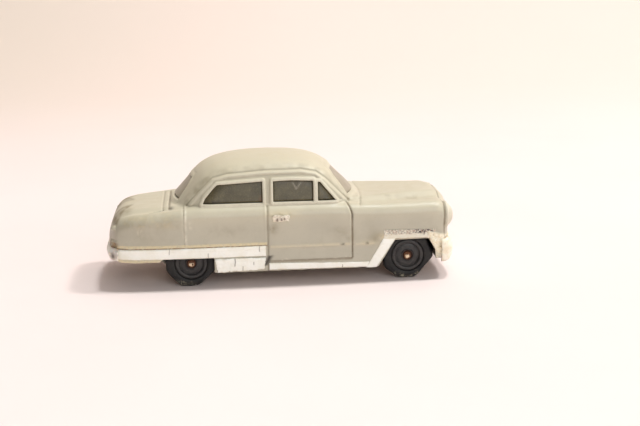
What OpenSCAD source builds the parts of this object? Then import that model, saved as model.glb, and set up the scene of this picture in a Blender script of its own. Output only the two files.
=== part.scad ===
// Pocket-size toy saloon car: a hollow moulded body over a base plate, wire axles,
// four free-running wheels and hand-applied foil trim. Millimetres.
// +X is the front of the car, +Y its left side, +Z up. The origin is on the ground
// under the middle of the car.

/* [Body] */
// Half width of the body at the doors
body_half_w = 14.5; // [14.3:0.1:14.8]
// Thickness of the moulded wall
wall = 1.0; // [0.8:0.05:1.1]
// Height of the lower edge of the sills
sill_z = 3.0; // [2.8:0.1:3.2]
// Height of the lower edge behind the rear wheels
tail_z = 6.2; // [6.0:0.1:6.3]
// Height of the belt line
belt_z = 17.3; // [17.0:0.1:17.5]
// Height of the roof
roof_z = 27.4; // [27.0:0.1:28.0]
// Width of the engraved door lines
line_w = 0.3; // [0.2:0.05:0.5]
// Depth of the engraved door lines
line_d = 0.25; // [0.1:0.05:0.4]

/* [Running gear] */
// Distance of the front axle ahead of the origin
front_axle_x = 27.8; // [27.4:0.1:28.0]
// Distance of the rear axle behind the origin
rear_axle_x = 19.8; // [19.4:0.1:20.2]
// Radius of the tyres, which is also the height of the axles
tyre_r = 5.2; // [5.1:0.1:5.4]
// How far the body is lifted above the datum its heights are measured from
ride_lift = 0.3; // [0.1:0.05:0.5]
// Radius of the wire axles
axle_r = 0.7; // [0.6:0.05:0.75]
// Radial clearance of anything that turns
run_gap = 0.06; // [0.03:0.01:0.08]

/* [Trim] */
// Thickness of the foil strips
foil_t = 0.14; // [0.1:0.01:0.18]
// Gap that the glue film leaves under the foil
glue_gap = 0.02; // [0.01:0.01:0.04]
// Height of the front bumper blade
bumper_h = 5.4; // [5.0:0.1:5.6]
// Height of the rear bumper blade
rear_bumper_h = 3.2; // [2.8:0.1:3.4]

/* [Hidden] */
$fn = 40;
big = 60;           // longer than any cut needs
body_grey = [0.66, 0.66, 0.62];
smoke = [0.23, 0.21, 0.19];
foil_white = [0.93, 0.93, 0.91];
cream = [0.86, 0.81, 0.70];
tyre_black = [0.05, 0.05, 0.055];
hub_black = [0.09, 0.09, 0.095];
rust = [0.42, 0.27, 0.17];

// Lower body, from tail to nose: x, half width, height of the shoulder, shoulder radius.
TUB = [
    [-37.2, 10.4, 12.9, 3.8],
    [-36.9, 11.4, 13.7, 3.6],
    [-36.0, 12.3, 14.7, 3.3],
    [-34.4, 13.1, 15.5, 3.0],
    [-32.0, 13.75, 16.05, 2.7],
    [-27.0, 14.2, belt_z - 0.83, 2.4],
    [-16.0, body_half_w, belt_z, 2.2],
    [10.0, body_half_w, belt_z, 2.2],
    [22.0, 14.3, belt_z - 0.43, 2.3],
    [30.0, 14.0, 16.9, 2.4],
    [34.6, 13.6, 17.0, 2.6],
    [36.2, 13.0, 16.5, 2.8],
    [37.0, 11.9, 15.6, 3.2],
    [37.5, 9.8, 14.8, 3.8]
];
// Greenhouse, from the belt up: z, rear x, front x, half width, squareness of the plan.
CABIN = [
    [15.8, -24.8, 19.0, 13.15, 6.0],
    [belt_z + 0.13, -23.9, 17.8, 12.95, 6.0],
    [18.8, -22.8, 16.7, 12.65, 5.8],
    [20.4, -21.6, 15.3, 12.3, 5.5],
    [22.5, -19.8, 13.0, 11.75, 5.2],
    [23.6, -18.6, 12.2, 11.4, 4.9],
    [24.6, -17.3, 11.2, 10.9, 4.5],
    [25.5, -15.7, 9.8, 10.0, 4.1],
    [26.2, -13.9, 8.2, 8.9, 3.7],
    [26.8, -11.4, 6.0, 7.2, 3.3],
    [27.2, -8.8, 3.8, 5.0, 2.9],
    [roof_z, -5.6, 1.0, 2.6, 2.5]
];
// Bonnet and boot bulges, tail to nose: x, half width, height of the crown, corner radius.
BONNET = [
    [14.0, 11.2, 17.83, 2.2],
    [22.0, 9.8, 17.97, 2.4],
    [29.0, 8.0, 18.15, 2.6],
    [34.1, 6.7, 18.1, 2.6],
    [36.15, 6.0, 17.6, 2.6],
    [37.4, 5.4, 16.5, 2.6],
    [38.0, 4.8, 15.2, 2.4]
];
BOOT = [
    [-37.6, 8.0, 12.2, 2.8],
    [-36.9, 8.8, 14.0, 2.8],
    [-35.4, 9.3, 15.8, 2.6],
    [-33.1, 9.8, 16.43, 2.5],
    [-28.8, 10.5, 16.87, 2.4],
    [-20.0, 11.0, 17.42, 2.2]
];
// Side windows, in x and z.
REAR_LIGHT = [[-17.0, 17.95], [-16.4, 19.2], [-14.45, 21.45], [-13.7, 22.1], [-3.8, 22.6], [-3.8, 17.95]];
FRONT_LIGHT = [[-1.7, 17.95], [-1.65, 22.55], [2.2, 22.65], [7.25, 22.4], [7.2, 17.95]];
QUARTER_LIGHT = [[8.0, 17.95], [8.1, 22.05], [8.7, 22.05], [12.2, 17.95]];
// Windscreen and rear window, in y and z.
SCREEN = [[-9.43, 19.17], [-7.47, 22.53], [-5.63, 23.93], [5.63, 23.93], [7.47, 22.53], [9.43, 19.17]];
BACKLIGHT = [[-7.03, 18.87], [-6.07, 21.03], [-4.43, 22.67], [4.43, 22.67], [6.07, 21.03], [7.03, 18.87]];
// Drip rail over the doors, down to the belt at both ends.
RAIL = [
    [-20.5, 17.1], [-17.6, 20.2], [-14.5, 23.1], [-11.4, 23.9], [-3.2, 24.4],
    [4.6, 24.4], [7.8, 23.8], [9.7, 22.5], [11.8, 20.2], [14.3, 17.4]
];
light_r = 0.45;             // corner radius of the windows
frame_w = 0.55;             // width of the raised rim round a side window
frame_h = 0.18;             // how far that rim stands out
door_rear_x = -21.0;        // engraved lines of the two doors
door_split_x = -3.0;
door_front_x = 15.4;
door_foot_z = 5.4;
rib_z = 8.5;                // raised line along the front door and wing
arch_top_z = 8.95;          // top of the front wheel opening
ARCH = [[19.9, 1.0], [24.8, arch_top_z], [32.3, arch_top_z], [33.8, 6.3], [34.2, 1.0]];
front_z = 4.2;              // lower edge ahead of the front wheels
skirt_z = 6.4;              // the rear wheels are covered down to here
rear_opening = [-25.9, -14.8];
lamp_x = 36.0;              // headlamps
lamp_y = 10.6;
lamp_z = 13.5;
lamp_r = 2.9;
grille_z = 10.9;
axle_z = tyre_r;
axle_h = axle_z - ride_lift;  // the same height above the body's datum
AXLES = [front_axle_x, -rear_axle_x];
wheel_out = 12.7;           // outer face of a tyre
wheel_in = 9.6;             // inner face of a tyre
hub_face = 12.55;
hub_seat_r = 3.15;
flange_r = 3.55;
head_r = 1.0;               // crimped end of an axle
head_y = 12.6;              // where the crimped end starts
base_z = 3.2;               // underside of the base plate
base_t = 0.9;
tail_step = 3.2;            // the base plate rises this much behind the rear wheels
base_half_w = 9.0;          // between the wheels
base_wide = 13.2;           // between the axles
ear = [7.2, 8.8];           // inner and outer face of the ears that carry an axle
ear_r = 1.8;
POSTS = [[21.4, base_z + base_t], [-30.5, base_z + base_t + tail_step]];    // x, and height of the foot of each fixing post
post_r = 1.7;
rivet_r = 0.65;
rivet_len = 3.6;
rivet_head_r = 1.35;
rivet_head_h = 0.45;

function half_w(x) = lookup(x, [for (s = TUB) [s[0], s[1]]]);

// A quarter round between two directions, as points.
function arc(cx, cy, r, a0, a1, n) =
    [for (i = [0:n]) let (a = a0 + (a1 - a0) * i / n) [cx + r * cos(a), cy + r * sin(a)]];

// A closed section, wider than high, with round upper corners.
function box_section(w, z0, z1, r) =
    concat([[-w, z0], [w, z0]], arc(w - r, z1 - r, r, 0, 90, 6), arc(r - w, z1 - r, r, 90, 180, 6));

function plan_oval(x0, x1, w, n, steps) =
    [for (i = [0:steps - 1])
        let (a = 360 * i / steps, c = cos(a), s = sin(a))
        [(x0 + x1) / 2 + sign(c) * pow(abs(c), 2 / n) * (x1 - x0) / 2, sign(s) * pow(abs(s), 2 / n) * w]];

// A closed mesh through rings of equal length. Each ring runs anticlockwise seen from the last one.
module loft(rings) {
    n = len(rings[0]);
    m = len(rings);
    polyhedron(
        points = [for (r = rings) each r],
        faces = concat(
            [[for (k = [0:n - 1]) k], [for (k = [n - 1:-1:0]) n * (m - 1) + k]],
            [for (i = [0:m - 2], k = [0:n - 1])
                [n * i + k, n * i + n + k, n * i + n + (k + 1) % n, n * i + (k + 1) % n]]
        )
    );
}

// A lofted form along X, shrunk by inset for the cavity.
module loft_x(table, foot, inset) {
    last = len(table) - 1;
    loft([for (i = [0:last])
        let (
            s = table[i],
            x = s[0] + (i == 0 ? inset : i == last ? -inset : 0),
            r = max(s[3] - inset, 0.5)
        ) [for (p = box_section(s[1] - inset, foot, s[2] - inset, r)) [x, p[0], p[1]]]]);
}

// The greenhouse, lofted upwards from the height low.
module cabin(inset, low = 0) {
    loft([for (s = CABIN) if (s[0] >= low)
        let (z = s[0] > belt_z ? s[0] - inset : s[0])
        [for (p = plan_oval(s[1] + inset, s[2] - inset, s[3] - inset, s[4], 48)) [p[0], p[1], z]]]);
}

// The whole outer form, or the cavity in it.
module body_form(inset) {
    loft_x(TUB, inset > 0 ? -1 : sill_z, inset);
    loft_x(BONNET, belt_z - 6, inset);
    loft_x(BOOT, belt_z - 8, inset);
    cabin(inset);
}

module across(from = -big / 2, to = big / 2) {
    translate([0, to, 0]) rotate([90, 0, 0]) linear_extrude(to - from) children();
}

module light_shape(points, grow = 0) {
    offset(r = light_r + grow, $fn = 24) offset(delta = -light_r) polygon(points);
}

module drip_rail() {
    difference() {
        offset(r = 0.22, $fn = 16) polygon(RAIL);
        offset(r = -0.22, $fn = 16) polygon(RAIL);
        translate([-22, belt_z - 1]) square([40, 1]);
    }
}

module side_lights(grow = 0) {
    for (p = [REAR_LIGHT, FRONT_LIGHT, QUARTER_LIGHT]) light_shape(p, grow);
}

module end_light(points, x0, x1) {
    translate([x0, 0, 0]) rotate([90, 0, 90]) linear_extrude(x1 - x0) light_shape(points);
}

// Raised rims round the side windows and the drip rail: the cabin grown a little, kept only there.
module window_rims() {
    intersection() {
        difference() {
            cabin(-frame_h);
            cabin(wall / 2);
        }
        across() {
            side_lights(frame_w);
            drip_rail();
        }
    }
}

// Upright sheets where the engraved lines run.
module door_sheets() {
    across() {
        for (x = [door_rear_x, door_split_x, door_front_x])
            translate([x - line_w / 2, x == door_rear_x ? 8.9 : door_foot_z])
                square([line_w, belt_z + 0.07 - (x == door_rear_x ? 8.9 : door_foot_z)]);
        translate([door_split_x, door_foot_z - line_w]) square([door_front_x - door_split_x, line_w]);
    }
    for (x = [-25.6, 18.2]) translate([x, -11, belt_z - 0.9]) cube([line_w, 22, 3]);
}

module door_lines() {
    difference() {
        door_sheets();
        loft_x(TUB, sill_z - 1, line_d);
        loft_x(BOOT, belt_z - 8, line_d);
        loft_x(BONNET, belt_z - 6, line_d);
        cabin(line_d);
    }
}

module ribs() {
    for (span = [[door_split_x + 0.3, door_front_x - 0.4], [door_front_x + 0.5, 21.4]], side = [-1, 1])
        hull() for (x = span)
            translate([x, side * (half_w(x) + 0.02), rib_z]) sphere(r = 0.24, $fn = 12);
}

module handle_bosses() {
    for (side = [-1, 1])
        translate([-1.1, side * half_w(0) - 0.25, 14.35]) cube([2.6, 0.5, 0.8]);
}

module headlamps() {
    for (side = [-1, 1]) translate([0, side * lamp_y, lamp_z]) rotate([0, 90, 0]) hull() {
        translate([0, 0, lamp_x - 3]) cylinder(r = lamp_r, h = 3);
        translate([0, 0, lamp_x + 0.9]) cylinder(r = lamp_r * 0.87, h = 0.01);
        translate([0, 0, lamp_x + 1.6]) cylinder(r = lamp_r * 0.65, h = 0.01);
        translate([0, 0, lamp_x + 2.1]) cylinder(r = lamp_r * 0.3, h = 0.01);
    }
}

module tail_lamps() {
    for (side = [-1, 1]) hull() {
        translate([-36.6, side * 11.0, 13.9]) sphere(r = 0.7, $fn = 20);
        translate([-35.4, side * 11.5, 14.2]) sphere(r = 0.7, $fn = 20);
    }
}

// A plain oval grille: a shallow recess crossed by two bars.
module grille() {
    translate([37.25, 0, 0]) rotate([90, 0, 90]) linear_extrude(5) difference() {
        offset(r = 1.4, $fn = 24) square([13, 1.2], center = true);
        for (dz = [-0.75, 0.75]) translate([0, dz]) square([20, 0.45], center = true);
    }
}

module wheel_openings() {
    for (side = [-1, 1]) scale([1, side, 1]) {
        across(9.2, 16) offset(r = 0.5, $fn = 24) offset(delta = -0.5) polygon(ARCH);
        across(9.2, 16) translate([rear_opening[0], -2]) square([rear_opening[1] - rear_opening[0], skirt_z + 2]);
    }
}

module under_cuts() {
    translate([-big - 25.0, -big / 2, -1]) cube([big, big, tail_z + 1]);
    translate([32.5, -big / 2, -1]) cube([big, big, front_z + 1]);
}

module fixing_posts() {
    for (p = POSTS) difference() {
        translate([p[0], 0, p[1]]) cylinder(r = post_r, h = 20 - p[1]);
        translate([p[0], 0, p[1] - 1]) cylinder(r = rivet_r + 0.03, h = rivet_len + 0.5);
    }
}

module body_shell() {
    color(body_grey) translate([0, 0, ride_lift]) {
        difference() {
            union() {
                body_form(0);
                window_rims();
                headlamps();
                tail_lamps();
                ribs();
                handle_bosses();
            }
            difference() {
                body_form(wall);
                fixing_posts();
            }
            across() side_lights();
            end_light(SCREEN, 8, 20);
            end_light(BACKLIGHT, -26, -14);
            door_lines();
            translate([0, 0, grille_z]) grille();
            wheel_openings();
            under_cuts();
        }
    }
}

module window_insert() {
    pane = 0.7;
    gap = 0.04;
    color(smoke) translate([0, 0, ride_lift]) difference() {
        cabin(wall + gap, belt_z);
        cabin(wall + gap + pane, belt_z);
        translate([-big / 2, -big / 2, 25.2]) cube([big, big, 5]);
        translate([-30, -big / 2, 10]) cube([60, big, belt_z + 0.35 - 10]);
    }
}

module base_outline() {
    x0 = -35.0;
    x1 = 34.0;
    kink = -26.5;
    polygon([
        [x1, base_z + 0.5], [x1, base_z + base_t + 0.5], [30, base_z + base_t], [kink + 1.2, base_z + base_t],
        [kink - 1.6, base_z + base_t + tail_step], [x0, base_z + base_t + tail_step],
        [x0, base_z + tail_step], [kink - 1.2, base_z + tail_step], [kink + 1.6, base_z], [30, base_z]
    ]);
}

module base_plate() {
    color(body_grey) translate([0, 0, ride_lift]) difference() {
        union() {
            across(-base_half_w, base_half_w) base_outline();
            translate([-13.6, -base_wide, base_z]) cube([33.0, 2 * base_wide, base_t]);
            for (x = AXLES, side = [-1, 1]) translate([x, side > 0 ? ear[1] : -ear[0], 0]) {
                translate([0, 0, axle_h]) rotate([90, 0, 0]) cylinder(r = ear_r, h = ear[1] - ear[0]);
                translate([-ear_r, ear[0] - ear[1], base_z + 0.1])
                    cube([2 * ear_r, ear[1] - ear[0], axle_h - base_z - 0.1]);
            }
        }
        for (x = AXLES) translate([x, 0, axle_h]) rotate([90, 0, 0])
            cylinder(r = axle_r + run_gap, h = 2 * base_half_w + 2, center = true);
        for (p = POSTS) {
            translate([p[0], 0, p[1] - 2]) cylinder(r = rivet_r + 0.08, h = 3);
            translate([p[0], 0, p[1] - base_t - 1]) cylinder(r = rivet_head_r + 0.1, h = 1 + rivet_head_h);
        }
    }
}

module base_rivet(post) {
    color(rust) translate([post[0], 0, post[1] - base_t + ride_lift]) {
        cylinder(r = rivet_head_r, h = rivet_head_h);
        cylinder(r = rivet_r, h = rivet_len);
    }
}

module axle(x) {
    color(rust) translate([x, 0, axle_z]) {
        rotate([90, 0, 0]) cylinder(r = axle_r, h = 2 * head_y, center = true);
        for (side = [-1, 1])
            rotate([side * -90, 0, 0]) translate([0, 0, head_y])
                rotate_extrude() polygon([[0, 0], [head_r, 0], [head_r, 0.18], [0.75, 0.36], [0, 0.45]]);
    }
}

// Anything that turns with a wheel is a profile of radius and distance from the middle of the car.
module wheel_turning(x, side, profile) {
    translate([x, 0, axle_z]) rotate([side * -90, 0, 0]) rotate_extrude() polygon(profile);
}

module hub(x, side) {
    bore = axle_r + run_gap;
    color(hub_black) wheel_turning(x, side, [
        [bore, 9.1], [1.7, 9.1], [1.9, wheel_in + 0.5], [flange_r, wheel_in + 0.6], [flange_r, wheel_in + 0.9],
        [hub_seat_r, wheel_in + 0.9], [hub_seat_r, hub_face - 0.4], [flange_r, hub_face - 0.4],
        [flange_r, hub_face - 0.1], [flange_r - 0.15, hub_face], [2.95, hub_face], [2.75, hub_face - 0.3],
        [2.55, hub_face - 0.3], [2.35, hub_face - 0.15], [1.5, hub_face - 0.05], [1.25, hub_face - 0.02],
        [1.25, head_y - 0.12], [bore, head_y - 0.12]
    ]);
}

module tyre(x, side) {
    color(tyre_black) wheel_turning(x, side, [
        [hub_seat_r, wheel_in + 0.9], [flange_r + 0.05, wheel_in + 0.9], [flange_r + 0.05, wheel_in + 0.25],
        [tyre_r - 1.1, wheel_in], [tyre_r - 0.55, wheel_in + 0.15], [tyre_r - 0.22, wheel_in + 0.5],
        [tyre_r, wheel_in + 0.9], [tyre_r, wheel_out - 0.9], [tyre_r - 0.22, wheel_out - 0.5],
        [tyre_r - 0.55, wheel_out - 0.15], [tyre_r - 1.1, wheel_out],
        [flange_r + 0.05, wheel_out - 0.2], [flange_r + 0.05, hub_face - 0.4], [hub_seat_r, hub_face - 0.4]
    ]);
}

// Foil on the body side between two rails. Each rail is two ends in x and z, and the second lies
// to the left of the first. The stops are shares of the way along the rails.
module side_foil(side, rail_a, rail_b, stops) {
    color(foil_white) translate([0, 0, ride_lift]) mirror([0, side < 0 ? 1 : 0, 0]) loft([for (t = stops)
        let (
            a = rail_a[0] + (rail_a[1] - rail_a[0]) * t,
            b = rail_b[0] + (rail_b[1] - rail_b[0]) * t,
            ya = half_w(a[0]) + glue_gap,
            yb = half_w(b[0]) + glue_gap
        ) [[a[0], ya, a[1]], [a[0], ya + foil_t, a[1]], [b[0], yb + foil_t, b[1]], [b[0], yb, b[1]]]]);
}

function evenly(n) = [for (i = [0:n]) i / n];

// The long strip bends where the body side does.
module quarter_foil(side) {
    x0 = -35.3;
    x1 = -3.6;
    bends = [for (s = TUB) if (s[0] > x0 && s[0] < x1) (s[0] - x0) / (x1 - x0)];
    side_foil(side, [[x0, 6.45], [x1, 6.45]], [[x0, 8.75], [x1, 8.85]], concat([0], bends, [1]));
}

module rear_sill_foil(side) {
    side_foil(side, [[-14.7, 3.2], [-3.3, 3.4]], [[-14.7, 6.3], [-3.3, 6.35]], evenly(4));
}

module door_sill_foil(side) {
    side_foil(side, [[-2.9, 3.3], [18.7, 3.05]], [[-2.9, 4.9], [19.2, 4.3]], evenly(12));
}

module arch_riser_foil(side) {
    side_foil(side, [[20.3, 3.05], [24.9, 9.7]], [[19.0, 3.05], [22.3, 9.7]], evenly(6));
}

module arch_top_foil(side) {
    side_foil(side, [[22.3, 9.85], [33.4, 9.85]], [[22.3, 11.5], [34.3, 11.2]], evenly(10));
}

module handle_foil(side) {
    y = half_w(0) + 0.25 + glue_gap;
    color(foil_white) translate([-1.3, side > 0 ? y : -y - foil_t, 14.1 + ride_lift])
        cube([3.0, foil_t, 1.3]);
}

// Bumper blade: a path round the end of the car, from one side to the other.
function bumper_path(x_mid, depth, w, n, steps) =
    [for (i = [0:steps])
        let (a = -90 + 180 * i / steps)
        [x_mid + depth * pow(abs(cos(a)), 2 / n), w * sign(sin(a)) * pow(abs(sin(a)), 2 / n)]];

module blade(x_mid, depth, w, z0, h, t, bulge) {
    steps = 28;
    outer = bumper_path(x_mid, depth, w, 3.2, steps);
    inner = bumper_path(x_mid, depth - t, w - t, 3.2, steps);
    front = bumper_path(x_mid, depth + bulge, w + bulge * 0.4, 3.2, steps);
    loft([for (i = [0:steps]) [
        [inner[i][0], inner[i][1], z0 + 0.3], [inner[i][0], inner[i][1], z0 + h - 0.3],
        [outer[i][0], outer[i][1], z0 + h], [front[i][0], front[i][1], z0 + h * 0.7],
        [front[i][0], front[i][1], z0 + h * 0.3], [outer[i][0], outer[i][1], z0]]]);
}

module front_bumper() {
    color(cream) translate([0, 0, ride_lift]) difference() {
        blade(34.9, 3.05, 14.1, 3.4, bumper_h, 0.9, 0.4);
        loft_x(TUB, 2, -0.05);
    }
}

module rear_bumper() {
    color(cream) translate([0, 0, ride_lift]) difference() {
        mirror([1, 0, 0]) blade(35.5, 2.45, 12.9, 5.9, rear_bumper_h, 0.9, 0.4);
        loft_x(TUB, 2, -0.05);
    }
}

body_shell();
window_insert();
base_plate();
front_bumper();
rear_bumper();
base_rivet(POSTS[0]);  // base_rivet_front
base_rivet(POSTS[1]);  // base_rivet_rear
axle(AXLES[0]);  // front_axle
axle(AXLES[1]);  // rear_axle
hub(AXLES[0], -1);  // hub_front_right
hub(AXLES[0], 1);  // hub_front_left
hub(AXLES[1], -1);  // hub_rear_right
hub(AXLES[1], 1);  // hub_rear_left
tyre(AXLES[0], -1);  // tyre_front_right
tyre(AXLES[0], 1);  // tyre_front_left
tyre(AXLES[1], -1);  // tyre_rear_right
tyre(AXLES[1], 1);  // tyre_rear_left
quarter_foil(-1);  // quarter_foil_right
quarter_foil(1);  // quarter_foil_left
rear_sill_foil(-1);  // rear_sill_foil_right
rear_sill_foil(1);  // rear_sill_foil_left
door_sill_foil(-1);  // door_sill_foil_right
door_sill_foil(1);  // door_sill_foil_left
arch_riser_foil(-1);  // arch_riser_foil_right
arch_riser_foil(1);  // arch_riser_foil_left
arch_top_foil(-1);  // arch_top_foil_right
arch_top_foil(1);  // arch_top_foil_left
handle_foil(-1);  // handle_foil_right
handle_foil(1);  // handle_foil_left
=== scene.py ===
import math

import bmesh
import bpy
import numpy as np
from mathutils import Matrix, Vector


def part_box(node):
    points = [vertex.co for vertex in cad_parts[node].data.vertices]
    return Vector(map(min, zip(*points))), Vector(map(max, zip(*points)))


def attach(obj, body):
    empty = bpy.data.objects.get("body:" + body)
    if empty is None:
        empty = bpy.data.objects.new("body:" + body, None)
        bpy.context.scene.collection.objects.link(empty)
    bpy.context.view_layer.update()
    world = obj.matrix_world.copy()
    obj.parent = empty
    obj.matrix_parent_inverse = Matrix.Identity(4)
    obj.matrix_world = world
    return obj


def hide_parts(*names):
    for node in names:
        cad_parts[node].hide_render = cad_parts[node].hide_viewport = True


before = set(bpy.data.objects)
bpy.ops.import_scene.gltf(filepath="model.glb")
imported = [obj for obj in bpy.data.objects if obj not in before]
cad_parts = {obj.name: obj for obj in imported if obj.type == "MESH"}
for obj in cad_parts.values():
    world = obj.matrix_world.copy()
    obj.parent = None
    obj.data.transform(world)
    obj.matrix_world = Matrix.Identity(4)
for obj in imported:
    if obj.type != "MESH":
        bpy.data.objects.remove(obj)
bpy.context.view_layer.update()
MM = 0.001
rng = np.random.default_rng(1950)


def mm_box(node):
    lo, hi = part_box(node)
    return np.array(lo) / MM, np.array(hi) / MM


# ------------------------------------------------------------------ sizes, in mm
# The frame gives the wheels and the body's place. Other heights are above the body's own datum.
BASE_PLATE_Z = 3.2
LIFT = mm_box("base_plate")[0][2] - BASE_PLATE_Z
AXLE_X = {end: float(np.mean([corner[0] for corner in mm_box(end + "_axle")])) for end in ("front", "rear")}
AXLE_Z = float(np.mean([corner[2] for corner in mm_box("front_axle")]))
TYRE_R = (mm_box("tyre_front_right")[1][2] - mm_box("tyre_front_right")[0][2]) / 2

BELT, ROOF, HALF_W, WALL = 17.3, 27.4, 14.5, 1.0
SILL_Z, TAIL_Z, FRONT_Z, SKIRT_Z = 3.0, 6.2, 4.2, 6.4   # lower edges: doors, tail, nose, rear wheel opening
DOOR_FRONT_X, DOOR_REAR_X, QUARTER_X = 15.35, -3.05, -21.15     # lines down the side
RIB_Z, HANDLE_Z, ARCH_Z = 8.5, 14.75, 8.95
LAMP_X, LAMP_Y, LAMP_Z, LAMP_R = 35.6, 10.5, 13.5, 2.92

# Sections of the body, close to the CAD's: x, half width, crown height, corner radius.
TUB = [(-37.2, 10.4, 12.9, 3.8), (-36.9, 11.4, 13.7, 3.6), (-36.0, 12.3, 14.7, 3.2), (-34.4, 13.1, 15.5, 2.8),
       (-32.0, 13.75, 16.0, 2.5), (-27.0, 14.2, 16.4, 2.4), (-22.0, 14.4, 16.9, 2.3),
       (-18.0, HALF_W, BELT, 2.2), (10.0, HALF_W, BELT, 2.2), (16.0, 14.4, 17.1, 2.3),
       (22.0, 14.3, 16.85, 2.3), (30.0, 14.0, 16.9, 2.4),
       (34.8, 13.6, 17.0, 2.4), (36.3, 13.0, 16.5, 2.8), (37.0, 11.9, 15.6, 3.2), (37.5, 9.8, 14.8, 3.8)]
BONNET = [(14.0, 11.2, 17.8, 2.2), (22.0, 9.8, 17.95, 2.4), (29.0, 8.0, 18.15, 2.6), (34.2, 6.7, 18.1, 2.6),
          (36.2, 6.0, 17.6, 2.6), (37.4, 5.4, 16.5, 2.6), (38.0, 4.8, 15.2, 2.4)]
BOOT = [(-37.6, 8.0, 12.2, 2.8), (-36.9, 8.8, 14.0, 2.8), (-35.4, 9.3, 15.8, 2.6), (-33.1, 9.8, 16.4, 2.5),
        (-28.8, 10.5, 16.8, 2.4), (-20.0, 11.0, 17.3, 2.2)]
# Greenhouse: its outline seen from the side as (x, z), and its half width as (z, half width).
CROWN = [(-26.4, 15.0), (-24.6, 17.0), (-23.5, 18.2), (-21.6, 20.3), (-19.7, 22.4), (-18.0, 24.2),
         (-16.4, 25.3), (-14.3, 26.2), (-11.6, 26.8), (-8.9, 27.15), (-6.0, 27.35),
         (-2.3, ROOF), (1.7, 27.3), (3.8, 27.1),
         (5.9, 26.8), (7.6, 26.35), (9.1, 25.8), (10.4, 25.1), (11.5, 24.3), (13.1, 22.6), (15.5, 20.3),
         (16.9, 18.7), (18.6, 16.6), (20.0, 15.0)]
WAIST = [(14.0, 13.5), (BELT, 12.97), (20.4, 12.3), (22.5, 11.75), (23.6, 11.4), (24.6, 11.0), (26.0, 10.3),
         (29.0, 8.6)]
# Openings and the drip rail seen from the side as (x, z), and the end windows seen from the end as (y, z).
REAR_LIGHT = [(-17.1, 17.85), (-16.45, 19.2), (-14.45, 21.45), (-13.7, 22.1), (-3.8, 22.6), (-3.8, 17.85)]
FRONT_LIGHT = [(-1.75, 17.9), (-1.65, 22.55), (2.2, 22.65), (7.3, 22.4), (7.25, 17.85)]
QUARTER_LIGHT = [(8.0, 17.85), (8.1, 22.1), (8.72, 22.1), (12.3, 17.85)]
RAIL = [(-20.5, 17.1), (-17.6, 20.2), (-14.5, 23.1), (-11.4, 23.9), (-3.2, 24.4), (4.6, 24.4), (7.8, 23.8),
        (9.7, 22.5), (12.0, 20.2), (14.7, 17.4)]
ARCH = [(19.9, 1.0), (24.8, ARCH_Z), (32.3, ARCH_Z), (33.8, 6.3), (34.2, 1.0)]
SCREEN = [(-9.6, 18.4), (-7.4, 22.6), (-5.6, 23.9), (5.6, 23.9), (7.4, 22.6), (9.6, 18.4)]
BACKLIGHT = [(-7.1, 17.95), (-5.8, 21.0), (-4.2, 22.6), (4.2, 22.6), (5.8, 21.0), (7.1, 17.95)]


# ------------------------------------------------------------------ small numeric tools
def bell(d, s):
    return np.exp(-0.5 * (d / s) ** 2)


def step(v, lo, hi):
    """0 below lo, 1 above hi, with a smooth rise between them."""
    t = np.clip((v - lo) / (hi - lo), 0, 1)
    return t * t * (3 - 2 * t)


def hump(v, a, b, c, d):
    """Rises from a to b and falls from c to d."""
    return step(v, a, b) * (1 - step(v, c, d))


def band(v, lo, hi, soft):
    """1 between lo and hi, with soft edges."""
    return hump(v, lo - soft, lo + soft, hi - soft, hi + soft)


def spot(x, z, cx, cz, rx, rz):
    """1 at a place on the side, fading out round it."""
    return np.exp(-0.5 * (((x - cx) / rx) ** 2 + ((z - cz) / rz) ** 2))


def spots(x, z, rows):
    """Several spots, each as strength, place and reach."""
    return sum(strength * spot(x, z, *row) for strength, *row in rows)


def strips(x, z, rows):
    """Several strips along the side, each as strength and the two bands in x and z."""
    return sum(strength * band(x, *along) * band(z, *up) for strength, along, up in rows)


def smax(a, b, k):
    """The larger of two, blended over k."""
    h = np.maximum(k - np.abs(a - b), 0)
    return np.maximum(a, b) + h * h * (0.25 / k)


def smin(a, b, k):
    return -smax(-a, -b, k)


def smoothed(rows, col, sigma=0.9, lo=-48.0, hi=48.0):
    """A smooth curve through one column of a table, carried on straight past both ends."""
    gap, reach = 0.05, 120
    xs = np.arange(lo, hi, gap)
    at, value = np.array([[row[0], row[col]] for row in rows]).T
    ys = np.interp(xs, at, value)
    slopes = np.diff(value) / np.diff(at)
    ys = np.where(xs < at[0], value[0] + slopes[0] * (xs - at[0]), ys)
    ys = np.where(xs > at[-1], value[-1] + slopes[-1] * (xs - at[-1]), ys)
    kernel = bell(np.arange(-reach, reach + 1) * gap, sigma)
    before = ys[0] + (ys[1] - ys[0]) * np.arange(-reach, 0)
    after = ys[-1] + (ys[-1] - ys[-2]) * np.arange(1, reach + 1)
    curve = np.convolve(np.concatenate([before, ys, after]), kernel / kernel.sum(), "valid")
    return lambda x: np.interp(x, xs, curve)


def polygon_sdf(px, py, pts):
    """Signed distance to a polygon in the plane, negative inside."""
    near = np.full(np.broadcast(px, py).shape, 1e9)
    inside = np.zeros(near.shape, bool)
    for (ax, ay), (bx, by) in zip(pts, pts[1:] + pts[:1]):
        ex, ey = bx - ax, by - ay
        wx, wy = px - ax, py - ay
        t = np.clip((wx * ex + wy * ey) / (ex * ex + ey * ey), 0, 1)
        near = np.minimum(near, (wx - ex * t) ** 2 + (wy - ey * t) ** 2)
        inside ^= ((ay > py) != (by > py)) & (px < ex * wy / (ey or 1e-9) + ax)
    return np.where(inside, -1, 1) * np.sqrt(near)


_perm = np.tile(rng.permutation(256), 3)
_vals = rng.uniform(-1, 1, 256)


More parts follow.
